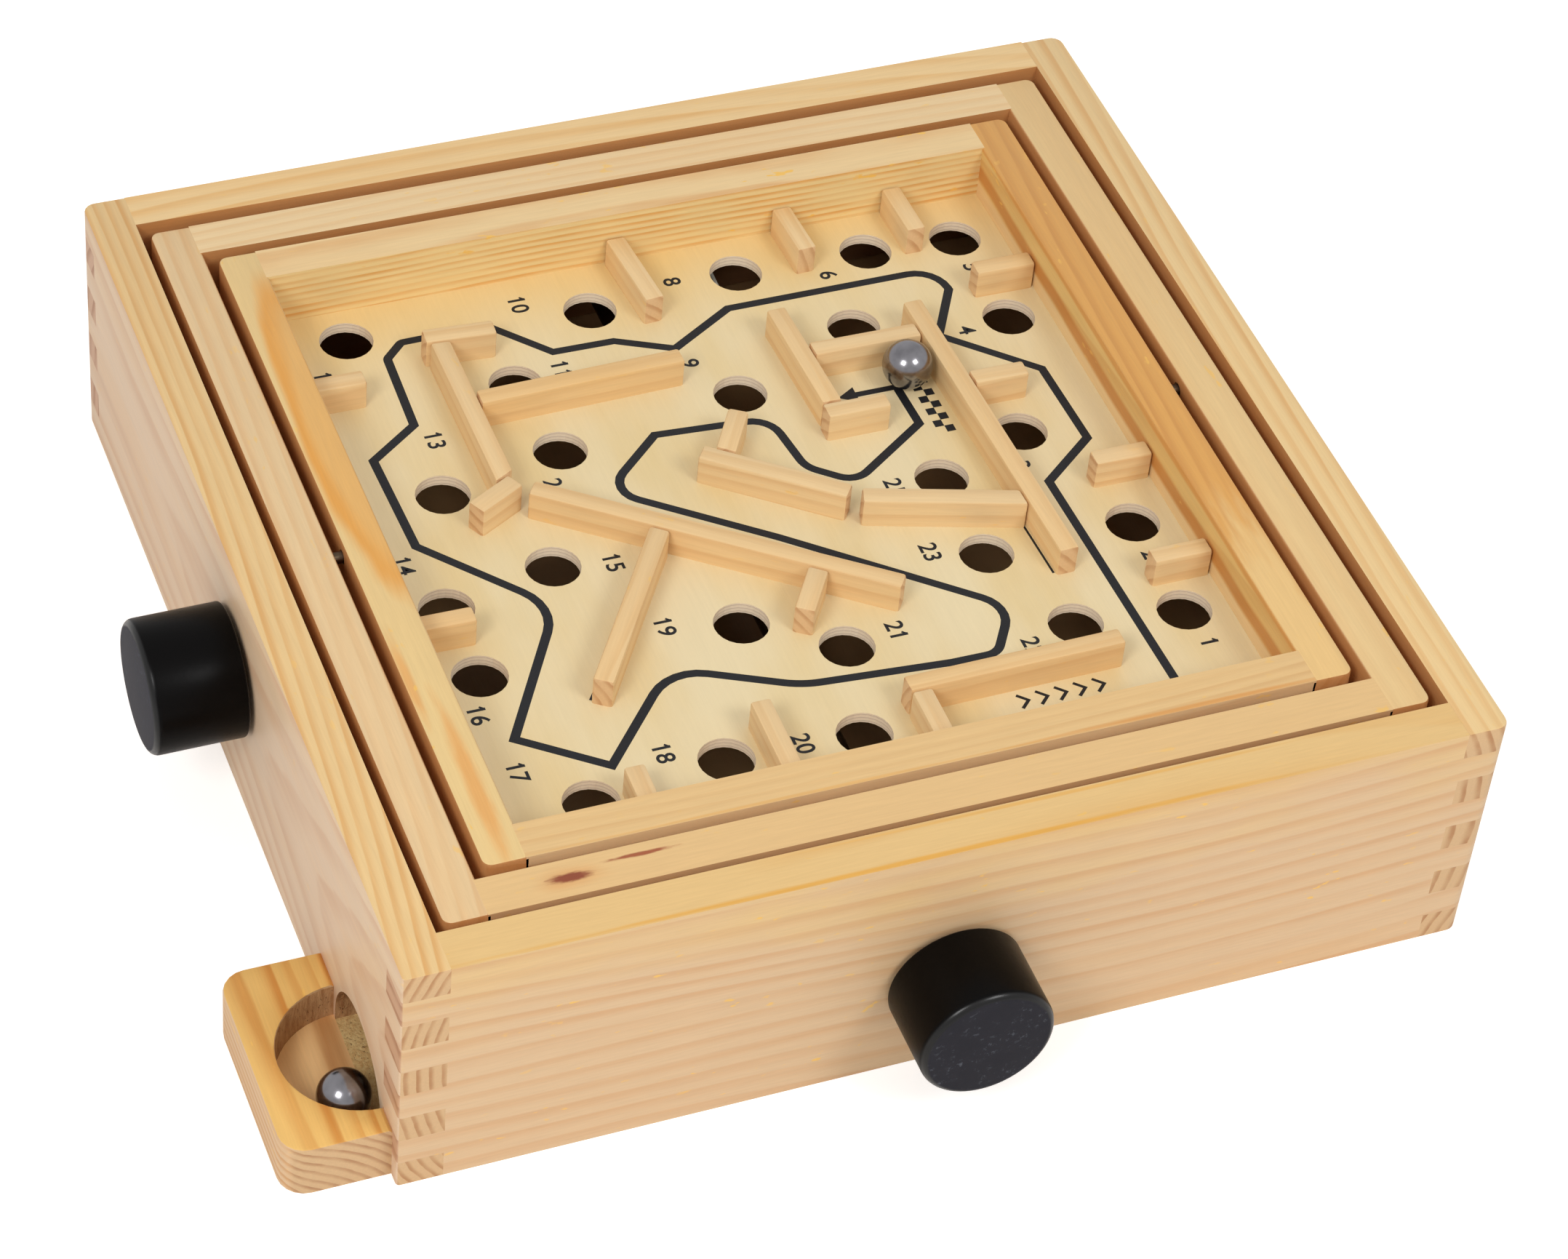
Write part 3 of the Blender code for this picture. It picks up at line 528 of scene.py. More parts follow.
board("tray_rail_front", "X", spacing=0.0024, pith=(-0.05, -0.02), bow=-0.25, bow_at=-0.02,
      contrast=0.6, early=(230, 194, 146), top=(225, 188, 131), top_late=(208, 162, 104), marks=(
          mark((0.055, -0.0037), (0.040, 0.0008), (214, 148, 72), 0.8, 0.3, EDGE_GRAIN),
          mark((-0.030, -0.0038), (0.060, 0.0005), (222, 164, 80), 0.5, 0.3, EDGE_GRAIN)))
board("tray_rail_back", "X", TRAY, spacing=0.0018, pith=(-0.012, -0.060), contrast=0.85,
      drips=1.0, dash=0.018, early=(236, 209, 150), late=(220, 158, 78), top=(231, 200, 148),
      top_late=(218, 170, 112))
board("tray_rail_left", "Y", TRAY, spacing=0.0045, pith=(0.0, -0.09), contrast=0.25, drips=0.8,
      top=(227, 196, 136), marks=(
          mark((0.031, -0.0042), (0.048, 0.0079), (224, 154, 58), 0.9, 0.86, BROAD_GRAIN, 0.5),
          mark((0.031, -0.0042), (0.043, 0.0061), (227, 177, 103), 0.9, 0.7, BROAD_GRAIN, 0.5),
          mark((-0.068, -0.0004), (0.028, 0.0022), (222, 156, 78), 0.75, 0.3),
          mark((-0.038, 0.0032), (0.016, 0.0014), (224, 158, 80), 0.7, 0.3)))
board("tray_rail_right", "Y", TRAY, spacing=0.0030, pith=(-0.05, -0.02), lean=0.05, contrast=0.5,
      early=(226, 188, 118), late=(204, 146, 76), top=(217, 160, 84), top_late=(190, 128, 64),
      bands=(
          (-0.0052, 0.0030, 0.002, (234, 202, 152), 0.8),
          (-0.0012, 0.0026, 0.005, (196, 124, 54), 0.8),
          (0.0058, 0.0014, 0.003, (210, 140, 64), 0.7)),
      marks=(
          mark((-0.080, 0.0005), (0.048, 0.0075), (228, 192, 130), 0.9, 0.5),))
board("catch_block", "Y", spacing=0.0021, pith=(0.019, -0.024), lean=0.02, contrast=1.0,
      amber_share=0.35, drips=0.8, early=(220, 184, 142), top=(230, 185, 106),
      top_late=(200, 124, 36), end=(208, 171, 126), end_line=(168, 118, 76))
print(f"{len(board_pine)} boards chosen")

# %% [markdown]
# ## Boards pushed home
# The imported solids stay 0.3 mm apart at each joint, as a simulation wants them. On the real box the
# joints are glued tight. So each board is copied, its loose triangles are merged, and the faces at
# its joints are let out until they meet. Where a rail ends against a rounded edge, its own top goes
# a little farther, to where the other's top is flat. On the box's corners the rounded edge itself is
# made sharp.

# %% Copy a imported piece
SAME_PLACE = 0.000001
SMOOTH_BELOW = math.radians(35)


def only(piece):
    """Leave just this piece selected and active."""
    bpy.ops.object.select_all(action="DESELECT")
    piece.select_set(True)
    bpy.context.view_layer.objects.active = piece


def merged_copy(name):
    """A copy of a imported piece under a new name, with its loose triangles merged."""
    piece = nodes[name].copy()
    piece.data = nodes[name].data.copy()
    piece.name = f"{name}_seen"
    piece.parent = None
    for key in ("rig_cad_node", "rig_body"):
        del piece[key]
    bpy.context.scene.collection.objects.link(piece)
    only(piece)
    bpy.ops.mesh.customdata_custom_splitnormals_clear()
    bpy.ops.object.mode_set(mode="EDIT")
    bpy.ops.mesh.select_all(action="SELECT")
    bpy.ops.mesh.remove_doubles(threshold=SAME_PLACE)
    bpy.ops.object.mode_set(mode="OBJECT")
    return piece


def stand_in(piece, node, body, materials):
    """Finish a copy: smooth its rounded edges, dress it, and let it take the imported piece's place."""
    only(piece)
    bpy.ops.object.shade_smooth_by_angle(angle=SMOOTH_BELOW)
    piece.data.materials.clear()
    for material in materials:
        piece.data.materials.append(material)
    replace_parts(piece, node)
    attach(piece, body)


# %% Measure the joints
GAP = 0.0003
NEAR = 0.00003
FINGER_PLAY = 0.0002
ROUNDED = 0.0005
BOX_HALF = 0.110
BOX_ROOM = 0.101
FRAME_ROOM = 0.0900
TRAY_ROOM = 0.0791
BOX_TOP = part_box("left_wall")[1].z
RAIL_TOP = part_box("tray_rail_left")[1].z
FINGER = BOX_TOP / 9
BOARD_LOW, BOARD_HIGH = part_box("maze_board")
BOARD_TOP = BOARD_HIGH.z
CENTRE = (BOARD_LOW + BOARD_HIGH) / 2
print(f"each finger is {FINGER * 1000:.1f} mm high")

# %% Push the boards home
moved = 0


def let_out(value, start, by=GAP):
    """Let a coordinate out if it lies at start, on either side of the middle."""
    return math.copysign(start + by, value) if abs(abs(value) - start) < NEAR else value


def meet(place, start, top):
    """Where a rail's end goes: to start, and past the other's rounded edge along the top."""
    return let_out(place.x, start - GAP, GAP + ROUNDED if place.z > top - ROUNDED / 2 else GAP)


def push_home(name, fit):
    """Copy a board and move its points; fit takes and gives a place from the box's middle."""
    global moved
    piece = merged_copy(name)
    for vert in piece.data.vertices:
        old = vert.co - Vector(MIDDLE)
        new = fit(old.copy())
        moved += (new - old).length > 0
        vert.co = new + Vector(MIDDLE)
    return piece


def close_fingers(place):
    """Close the gaps above, below and beside the fingers, and sharpen the walls' top corners."""
    level = round(place.z / FINGER) * FINGER
    if min(abs(place.x), abs(place.y)) > BOX_ROOM - ROUNDED:
        if abs(place.z - level) < FINGER_PLAY and level < BOX_TOP - NEAR:
            place.z = level
        place.x = let_out(place.x, BOX_ROOM - GAP)
        place.y = let_out(place.y, BOX_ROOM - GAP)
    at_joint = abs(place.y) > BOX_HALF - ROUNDED and abs(abs(place.x) - BOX_ROOM) < ROUNDED / 2
    if at_joint and place.z > BOX_TOP - ROUNDED:
        place.x = math.copysign(BOX_ROOM, place.x)
    return place


def close_frame(place):
    """Close the gaps at the ends of the frame's front and back rails."""
    place.x = meet(place, FRAME_ROOM, RAIL_TOP)
    return place


def close_tray(place):
    """Close the gaps at the ends of the tray's rails and under them."""
    place.x = meet(place, TRAY_ROOM, RAIL_TOP)
    if abs(place.z - BOARD_TOP - GAP) < NEAR:
        place.z = BOARD_TOP
    return place


def close_catch(place):
    """Close the gap between the catch block and the box."""
    place.x = -BOX_HALF if abs(place.x + BOX_HALF + GAP) < NEAR else place.x
    return place


for side in ("front", "back", "left", "right"):
    for kind, body, fit in (("frame", "tilt_frame", close_frame), ("tray", "maze_tray", close_tray)):
        name = f"{kind}_rail_{side}"
        stand_in(push_home(name, fit), name, body, [board_pine[name]])
for side in ("front", "back", "right"):
    name = f"{side}_wall"
    stand_in(push_home(name, close_fingers), name, "box", [board_pine[name]])
print(f"{moved} points moved to close the joints")

# %% [markdown]
# ## The catch
# A ball that falls rolls out through an arch in the left wall, into a round pocket. Both were milled
# across the grain, so their walls are rough and brown with torn fibres, and the pocket's floor is a
# paler pine. These faces get finishes of their own, chosen by their place.

# %% Mill the pocket and the arch


def milled(name, light, dark, seed):
    """Wood torn by a cutter: rough and dark, with specks."""
    finish = Finish(name, {"Specular IOR Level": 0.25})
    place = finish.place()
    torn = finish.noise(place, (0.0009, 0.0009, 0.0035), seed, 4.0, 0.65)
    broad = finish.noise(place, (0.006, 0.006, 0.010), seed + 1, 2.0)
    speck = finish.noise(place, (0.0005, 0.0005, 0.0008), seed + 2, 2.0).rise(0.62, 0.70)
    wood = finish.mix((torn * 0.6 + broad * 0.4).rise(0.35, 0.68), light, dark)
    return finish.wear(
        base_color=finish.mix(speck * 0.6, wood, (104, 66, 38)),
        roughness=torn * 0.3 + 0.6,
        normal=finish.bumps(torn + speck * 0.3, 0.0003))


POCKET_MIDDLE = Vector((-BOX_HALF, -0.0855))
POCKET_REACH = 0.0156
ARCH_HALF = 0.0146
ARCH_TOP = 0.0215
CATCH_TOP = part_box("catch_block")[1].z
torn_brown = milled("milled_pine", (206, 164, 118), (164, 116, 74), 3.0)
sill_yellow = milled("milled_sill", (226, 196, 136), (196, 150, 92), 8.0)
pocket_floor = pine(
    "pine_pocket_floor", 30.0, middle("catch_block"), "Y", spacing=0.0034, pith=(-0.004, -0.05),
    contrast=1.0, drips=0.5, top=(250, 206, 144), top_late=(198, 140, 82))


def choose_faces(piece, choice):
    """Give each face the material that choice picks from its middle and normal."""
    counts = {}
    for face in piece.data.polygons:
        place = face.center - Vector(MIDDLE)
        face.material_index = choice(place, face.normal)
        counts[face.material_index] = counts.get(face.material_index, 0) + 1
    print(f"{piece.name}: {counts} faces by material")


def catch_faces(place, normal):
    """Which material a face of the catch block gets."""
    near = (place.xy - POCKET_MIDDLE).length < POCKET_REACH
    if not near or place.z > CATCH_TOP - ROUNDED:
        return 0
    return 2 if normal.z > 0.7 else 1


def arch_faces(place, normal):
    """Which material a face of the left wall gets."""
    in_arch = abs(place.y - POCKET_MIDDLE.y) < ARCH_HALF and abs(normal.x) < 0.5
    if not in_arch or place.z > ARCH_TOP or not BOX_ROOM < -place.x < BOX_HALF:
        return 0
    return 2 if normal.z > 0.7 else 1


catch = push_home("catch_block", close_catch)
stand_in(catch, "catch_block", "box",
         [board_pine["catch_block"], torn_brown, pocket_floor])
choose_faces(catch, catch_faces)
left_wall = push_home("left_wall", close_fingers)
stand_in(left_wall, "left_wall", "box",
         [board_pine["left_wall"], torn_brown, sill_yellow])
choose_faces(left_wall, arch_faces)

# %% [markdown]
# ## Plywood
# The maze board and the sloping floor are thin plywood. Its face is peeled from the log like paper
# from a roll, so it shows broad, faint clouds and no ring lines. Where a drill went through, the
# plies show as pinkish bands.

# %% Dress the board and the ball ramp
PLY = 0.00083
PAINTED_BOUNCE_PLY = (234, 199, 130)


def plywood(name, node, face, cloud, edge, seed, bounce_share=0.0):
    """Smooth plywood with clouds on its faces and plies on its edges, and painted warm light, as
    bounced from a rail, towards its back.
    """
    finish = Finish(name, {"Coat Weight": 0.1, "Coat Roughness": 0.35})
    place = finish.turned(middle(node), TURNS["Y"])
    facing = finish.parts(finish.place("Normal"))[2].size().rise(0.5, 0.8)
    up = finish.parts(place)[2]
    clouds = finish.noise(place, (0.05, 0.018, 0.05), seed, 3.0).rise(0.35, 0.75)
    fibre = finish.noise(place, (0.012, 0.0006, 0.0006), seed + 1, 3.0, 0.6)
    plies = ((up / PLY).fraction() - 0.5).size().rise(0.30, 0.48)
    flat = finish.mix(clouds, face, cloud)
    # painted light: warm light bounced from the tray's back rail, towards the back of the board
    back = finish.parts(place)[0].rise(0.045, 0.085) * bounce_share
    flat = finish.mix(back, flat, PAINTED_BOUNCE_PLY)
    cut = finish.mix(plies * 0.35, edge, (150, 110, 84))
    wood = finish.mix(facing, cut, flat)
    return finish.wear(
        base_color=finish.mix(1.0, wood, finish.grey(fibre * 0.12 + 0.94), "MULTIPLY"),
        roughness=fibre * 0.15 + 0.40,
        normal=finish.bumps(fibre, 0.00003))


# The maze board's near-white edge colour is its plywood edge lifted with painted light, as the walls of
# its holes lie in shade.
dress("maze_board", plywood(
    "board_plywood", "maze_board", (230, 212, 170), (224, 199, 145), (255, 236, 208), 2.0,
    # 0.7 is the share of painted warm light at the board's back
    0.7))
dress("ball_ramp", plywood(
    "ramp_plywood", "ball_ramp", (176, 140, 96), (150, 112, 70), (150, 112, 80), 5.0))

# %% [markdown]
# ## The maze's low walls
# The walls are strips of pine cut to length and glued down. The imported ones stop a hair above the
# board, to keep the solids apart, so each is copied here and its foot is let down onto the board.
# A copy can also carry attributes: where a point lies along and across the strip, which sides are
# cut ends, and how amber the strip is. One material then serves them all, each with its own grain.

# %% Set the walls on the board
FOOT_REACH = 0.0004
WALL_TONES = {9: 0.6, 4: 0.35, 10: 0.3, 17: 0.6, 13: 0.35, 6: 0.1, 18: 0.35, 19: 0.3, 24: 0.5}
strip_pine = pine(
    "pine_strips", 40.0, spacing=0.0025, pith=(-0.012, -0.016), wander=0.007, contrast=0.4,
    early=(232, 200, 150), top=(229, 197, 147), late=(208, 156, 98), top_late=(212, 164, 102),
    amber=(226, 174, 98), end=(220, 182, 136), end_line=(190, 140, 94), drips=0.4)


def strip_direction(mesh):
    """The way that a strip runs: square to its largest upright face."""
    upright = [face for face in mesh.polygons if abs(face.normal.z) < 0.1]
    side = max(upright, key=lambda face: face.area).normal
    return Vector((-side.y, side.x, 0)).normalized()


def add_grain(piece, number):
    """Write the attributes that the strips' material reads."""
    rng = random.Random(number)
    mesh = piece.data
    along = strip_direction(mesh)
    across = Vector((-along.y, along.x, 0))
    origin = sum((vert.co for vert in mesh.vertices), Vector()) / len(mesh.vertices)
    shift = Vector((rng.uniform(-1, 1), rng.uniform(-0.01, 0.01), rng.uniform(-0.01, 0.01)))
    grain = mesh.attributes.new("grain", "FLOAT_VECTOR", "POINT")
    for vert in mesh.vertices:
        arm = vert.co - origin
        grain.data[vert.index].vector = Vector((arm.dot(along), arm.dot(across), arm.z)) + shift
    cut_end = mesh.attributes.new("cut_end", "FLOAT", "FACE")
    for face in mesh.polygons:
        cut_end.data[face.index].value = float(abs(face.normal.dot(along)) > 0.75)
    tone = mesh.attributes.new("tone", "FLOAT", "POINT")
    share = WALL_TONES.get(number, rng.uniform(0.0, 0.15))
    tone.data.foreach_set("value", [share] * len(mesh.vertices))


wall_names = sorted(name for name in nodes if name.startswith("maze_wall_"))
for name in wall_names:
    wall = merged_copy(name)
    for vert in wall.data.vertices:
        if vert.co.z < BOARD_TOP + FOOT_REACH:
            vert.co.z = BOARD_TOP
    add_grain(wall, int(name[-2:]))
    stand_in(wall, name, "maze_tray", [strip_pine])
print(f"{len(wall_names)} walls set down")

# %% [markdown]
# ## The print
# Route and numbers are screen-printed in black. A print is a film of ink, so each line is a tube
# along a curve, flattened to a few hundredths of a millimetre. The tube's corners come out mitred,
# as a drawn line's do. Places are measured in millimetres from the board's centre.

# %% Mix the ink
INK_RISE = 0.00003
MM = 0.001
ink = Finish("ink", {"Specular IOR Level": 0.3})
specks = ink.noise(ink.place(), (0.0004, 0.0004, 0.0004), 0.0, 4.0, 0.7)
clouds = ink.noise(ink.place(), (0.006, 0.006, 0.006), 1.0, 2.0)
thin = specks.rise(0.64, 0.74)
ink_black = ink.wear(
    base_color=ink.mix(thin * 0.35, (26, 27, 31), (120, 108, 88)),
    roughness=clouds * 0.2 + 0.45)


def on_board(x, y, rise=0.0):
    """A place given in millimetres from the board's centre, and its rise above the board."""
    return CENTRE.x + x * MM, CENTRE.y + y * MM, BOARD_TOP + rise


def finish_print(piece, name):
    """Make a printed shape into a thin mesh on the board, where it was laid out."""
    only(piece)
    bpy.ops.object.convert(target="MESH")
    piece = bpy.context.object
    piece.name = name
    bpy.ops.object.transform_apply()
    piece.data.materials.clear()
    piece.data.materials.append(ink_black)
    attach(piece, "maze_tray")
    return piece


# %% [markdown]
# Some of the route's corners are sharp, and others are drawn round. Each point is given with the
# radius of its corner, and a short function replaces each round corner with an arc.

# %% Print the route
LINE_WIDTH = 1.9
ROUTE = (
    (60.3, -69.0, 0), (58.6, -9.4, 0), (71.4, 0.6, 0), (70.7, 22.8, 0), (53.8, 38.3, 0),
    (61.4, 51.5, 0), (61.0, 58.4, 6.7), (14.1, 58.3, 0), (-0.8, 49.4, 0), (-12.3, 55.0, 0),
    (-25.5, 55.2, 0), (-36.2, 66.7, 0), (-54.7, 66.4, 1.5), (-58.9, 62.3, 1.5), (-59.7, 41.7, 0),
    (-70.7, 33.7, 0), (-70.0, 7.9, 0), (-49.0, -15.6, 10), (-68.0, -47.4, 0), (-52.5, -59.1, 0),
    (-33.6, -38.0, 10), (-10.3, -49.3, 20), (20.0, -51.8, 0), (29.7, -51.9, 4), (37.0, -40.5, 6.5),
    (0.0, -9.6, 0), (-28.5, 12.5, 5.3), (-13.8, 25.6, 0), (10.4, 23.9, 6), (12.4, 8.3, 6),
    (20.8, 1.4, 5), (39.6, 14.1, 0), (39.2, 26.6, 0),
)


def rounded(corners, steps=6):
    """The points of a line whose corners are rounded where they have a radius."""
    points = [Vector(corner[:2]) for corner in corners]
    line = [points[0]]
    for before, here, after, (_, _, radius) in zip(points, points[1:], points[2:], corners[1:]):
        into, out = (before - here).normalized(), (after - here).normalized()
        if not radius:
            line.append(here)
            continue
        half = into.angle(out) / 2
        reach = radius / math.tan(half)
        centre = here + (into + out).normalized() * radius / math.sin(half)
        start, end = here + into * reach - centre, here + out * reach - centre
        sweep = start.angle_signed(end)
        for step in range(steps + 1):
            line.append(centre + Matrix.Rotation(-sweep * step / steps, 2) @ start)
    return line + [points[-1]]


def line_along(name, points, radius, dimensions, roundness):
    """A tube along some points, closed at its ends."""
    curve = bpy.data.curves.new(name, "CURVE")
    curve.dimensions = dimensions
    curve.bevel_depth = radius
    curve.bevel_resolution = roundness
    curve.use_fill_caps = True
    spline = curve.splines.new("POLY")
    spline.points.add(len(points) - 1)
    for spot, point in zip(spline.points, points):
        spot.co = (*point, 1)
    piece = bpy.data.objects.new(name, curve)
    bpy.context.scene.collection.objects.link(piece)
    return piece


def printed_line(name, points, width):
    """A line of ink along points in millimetres from the board's centre."""
    radius = width / 2 * MM
    piece = line_along(name, [(x * MM, y * MM, 0) for x, y in points], radius, "2D", 0)
    piece.data.splines[0].use_smooth = False
    piece.location = on_board(0, 0)
    piece.scale.z = INK_RISE / radius
    return finish_print(piece, name)


route = rounded(ROUTE)
printed_line("printed_route", route, LINE_WIDTH)
printed_line("printed_arrow_shaft", ((39.2, 25.8), (29.9, 25.8)), 1.5)
# Three thin dark lines in the ink's black lie along the feet of walls.
printed_line("printed_mark_under_wall_1", ((48.2, -12.0), (49.0, -34.3)), 0.5)
printed_line("printed_mark_under_wall_2", ((4.1, -26.8), (12.9, -32.9)), 0.5)
printed_line("printed_mark_under_wall_3", ((-50.8, -41.7), (-49.6, -40.1)), 0.6)
print(f"the route has {len(route)} points")

# %% [markdown]
# The numbers count the holes from start to finish. They read towards the front of the box, so each
# is laid down a quarter turn clockwise. Blender's own letters are set one by one, a little fatter
# than drawn. Its figure 1 is a bare stick, so a short line gives it a flag.

# %% Print the numbers
NUMBER_SIZE = 5.2
FATTER = 0.07
DIGIT_STEP = 2.65
NUMBERS = {
    1: (70.9, -60.9), 2: (69.8, -34.8), 3: (54.9, -3.4), 4: (59.9, 38.3), 5: (68.8, 57.0),
    6: (38.2, 62.7), 7: (26.9, 41.8), 8: (5.5, 69.5), 9: (0.4, 44.2), 10: (-27.9, 71.2),
    11: (-25.7, 49.7), 12: (-73.3, 59.4), 13: (-57.2, 36.2), 14: (-74.1, 3.3),
    15: (-34.3, -7.2), 16: (-72.8, -39.5), 17: (-70.3, -55.7), 18: (-42.3, -58.8),
    19: (-30.6, -26.9), 20: (-15.9, -64.0), 21: (12.6, -40.6), 22: (36.8, -52.2),
    23: (27.3, -21.9), 24: (-38.4, 16.4), 25: (27.5, -2.4),
}


def digit(figure, x, y):
    """One printed figure, with its middle at x, y."""
    bpy.ops.object.text_add()
    text = bpy.context.object
    text.data.body = figure
    text.data.size = NUMBER_SIZE * MM
    text.data.offset = FATTER * MM
    text.data.align_x = "CENTER"
    text.data.align_y = "CENTER"
    text.data.extrude = INK_RISE / 2
    only(text)
    bpy.ops.object.convert(target="MESH")
    text = bpy.context.object
    text.rotation_euler.z = -math.pi / 2
    text.location = on_board(x, y, INK_RISE / 2)
    parts = [finish_print(text, "figure")]
    if figure == "1":
        parts.append(printed_line("flag", ((x + 1.85, y), (x + 1.0, y + 0.75)), 0.5))
    return parts


for number, (x, y) in NUMBERS.items():
    figures = str(number)
    parts = []
    for place, figure in enumerate(figures):
        drop = (place - (len(figures) - 1) / 2) * DIGIT_STEP
        parts += digit(figure, x, y - drop)
    only(parts[0])
    for part in parts[1:]:
        part.select_set(True)
    if len(parts) > 1:
        bpy.ops.object.join()
    parts[0].name = f"printed_number_{number:02d}"
print(f"{len(NUMBERS)} numbers printed")

# %% [markdown]
# Where a game says in words where to begin and to end, this one has signs that need no language:
# chevrons that point to the start, and a strip of checks at the finish.

# %% Print the start and finish signs
CHEVRONS_AT = (28.5, 32.5, 36.5, 40.5, 44.5)
CHEVRON_LINE = -65.5
CHEVRON_HALF = 1.8
CHEVRON_DEPTH = 1.9
CHECK = 1.9
CHECK_START = (43.2, 28.2)
CHECK_SHIFT = 0.02
CHECK_ROWS = 10
ARROW_HEAD = (29.0, 25.8)
ARROW_RADIUS = 2.7


def thicken():
    """Give the flat shape that was just added its film of ink."""
    piece = bpy.context.object
    piece.modifiers.new("thickness", "SOLIDIFY").thickness = INK_RISE
    bpy.ops.object.modifier_apply(modifier="thickness")
    return piece


for count, x in enumerate(CHEVRONS_AT, 1):
    printed_line(f"printed_start_chevron_{count}", (
        (x, CHEVRON_LINE + CHEVRON_HALF), (x + CHEVRON_DEPTH, CHEVRON_LINE),
        (x, CHEVRON_LINE - CHEVRON_HALF)), 0.7)

for row in range(CHECK_ROWS):
    x = CHECK_START[0] + (row % 2) * CHECK + row * CHECK_SHIFT
    y = CHECK_START[1] - row * CHECK
    bpy.ops.mesh.primitive_plane_add(size=CHECK * MM, location=on_board(x, y, INK_RISE))
    finish_print(thicken(), f"printed_finish_check_{row + 1:02d}")

bpy.ops.mesh.primitive_circle_add(
    vertices=3, radius=ARROW_RADIUS * MM, fill_type="NGON", rotation=(0, 0, math.pi / 2),
    location=on_board(*ARROW_HEAD, INK_RISE))
finish_print(thicken(), "printed_arrow_head")
print(f"{len(CHEVRONS_AT)} chevrons and {CHECK_ROWS} checks printed")

# %% [markdown]
# ## Steel
# The balls are polished, with fine smudges from hands. Rods and pins are dull, with marks along their
# length, and their dark brown tone is painted shade and painted reflection of the wood in the gaps
# where they sit. The screw eyes are plated.

# %% Polish the steel
# painted shade and painted reflection of the wood around them: the dark brown tone of the rods and pins
SHADED_ROD_TONE = (104, 90, 74)


def steel(name, tone, smooth_to, sizes, seed):
    """Bright steel whose roughness varies in patches of the given sizes."""
    finish = Finish(name, {"Metallic": 1.0})
    smudge = finish.noise(finish.place(), (0.003, 0.003, 0.003), seed, 3.0)
    marks = finish.noise(finish.place(), sizes, seed + 1, 3.0, 0.6)
    return finish.wear(
        base_color=finish.mix(smudge.rise(0.4, 0.8), tone, [t - 22 for t in tone]),
        roughness=smudge * 0.08 + marks * 0.1 + smooth_to,
        normal=finish.bumps(marks, 0.000004))


ball_steel = steel("ball_steel", (142, 140, 144), 0.11, (0.0006, 0.0006, 0.0006), 1.0)
front_to_back = steel("rod_steel_front_to_back", SHADED_ROD_TONE, 0.3, (0.0003, 0.02, 0.0003), 3.0)
left_to_right = steel("rod_steel_left_to_right", SHADED_ROD_TONE, 0.3, (0.02, 0.0003, 0.0003), 5.0)
plated = steel("plated_steel", (190, 188, 182), 0.2, (0.0004, 0.0004, 0.0004), 7.0)

STEEL_PIECES = {
    front_to_back: ("frame_rod", "frame_pin_front", "frame_pin_back"),
    left_to_right: ("tray_rod", "tray_pin_left", "tray_pin_right"),
    plated: ("frame_eye_left", "frame_eye_right", "tray_eye_front", "tray_eye_back"),
}
for material, names in STEEL_PIECES.items():
    for name in names:
        dress(name, material)

# %% [markdown]
# A mirror shows every facet, so finer balls are made. A cube cut into even squares and cast to a
# sphere has no poles, which would pinch the reflections.

# %% Round the balls
BALL_CUTS = 23


def fine_ball(name, node, body):
    """A ball of even squares, in place of a packed one."""
    low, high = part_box(node)
    radius = (high.z - low.z) / 2
    bpy.ops.mesh.primitive_cube_add(size=radius, location=(low + high) / 2)
    ball = bpy.context.object
    bpy.ops.object.mode_set(mode="EDIT")
    bpy.ops.mesh.select_all(action="SELECT")
    bpy.ops.mesh.subdivide(number_cuts=BALL_CUTS)
    bpy.ops.object.mode_set(mode="OBJECT")
    cast = ball.modifiers.new("cast", "CAST")
    cast.factor = 1
    cast.use_radius_as_size = False
    cast.size = radius
    bpy.ops.object.modifier_apply(modifier=cast.name)
    bpy.ops.object.shade_smooth()
    bpy.ops.object.transform_apply()
    ball.name = name
    ball.data.materials.append(ball_steel)
    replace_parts(ball, node)
    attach(ball, body)
    print(f"{name}: radius {(ball.data.vertices[0].co - (low + high) / 2).length * 1000:.3f} mm")


fine_ball("polished_maze_ball", "maze_ball", "maze_ball")
fine_ball("polished_catch_ball", "catch_ball", "catch_ball")

# %% [markdown]
# ## Knobs
# The knobs are lacquered black. Their faces are a little dull and scuffed, while the sides stay deep
# black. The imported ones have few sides, so finer ones are turned here: cylinders with many sides,
# whose rims are bevelled in edit mode.

# %% Lacquer the knobs


def black_lacquer(name, node, along, seed, light):
    """Black lacquer that is duller and scuffed on the knob's flat faces, and shiny at the rim."""
    finish = Finish(name, {"Specular IOR Level": 0.08, "Coat Roughness": 0.25})
    place = finish.turned(middle(node), TURNS["X"])
    facing = finish.parts(finish.place("Normal"))["XYZ".index(along)].size()
    on_face = facing.rise(0.9, 0.99)
    rim = facing.rise(0.3, 0.6) * (1 - on_face)
    cloud = finish.noise(place, (0.006, 0.006, 0.006), seed, 3.0)
    scuff = finish.noise(place, (0.0012, 0.0012, 0.0012), seed + 2, 4.0, 0.7)
    dust = finish.noise(place, (0.0003, 0.0003, 0.0003), seed + 4, 2.0).rise(0.70, 0.76)
    scuffed = scuff.rise(0.54, 0.70) * cloud.rise(0.44, 0.60)
    dull = finish.mix(cloud, light, [part + 13 for part in light])
    face = finish.mix(scuffed * 0.5, dull, (104, 108, 116))
    tone = finish.mix(on_face, (6, 5, 5), face)
    return finish.wear(
        coat_weight=rim * 0.6,
        base_color=finish.mix(dust * on_face * 0.35, tone, (110, 112, 118)),
        roughness=on_face * 0.2 + scuffed * 0.15 + cloud * 0.1 + 0.28,
        normal=finish.bumps(scuff * 0.6 + cloud * 0.4, 0.00004))


# %% Turn the knobs
KNOB_SIDES = 96
FACE_ROUNDING = 0.0017
BACK_ROUNDING = 0.0005


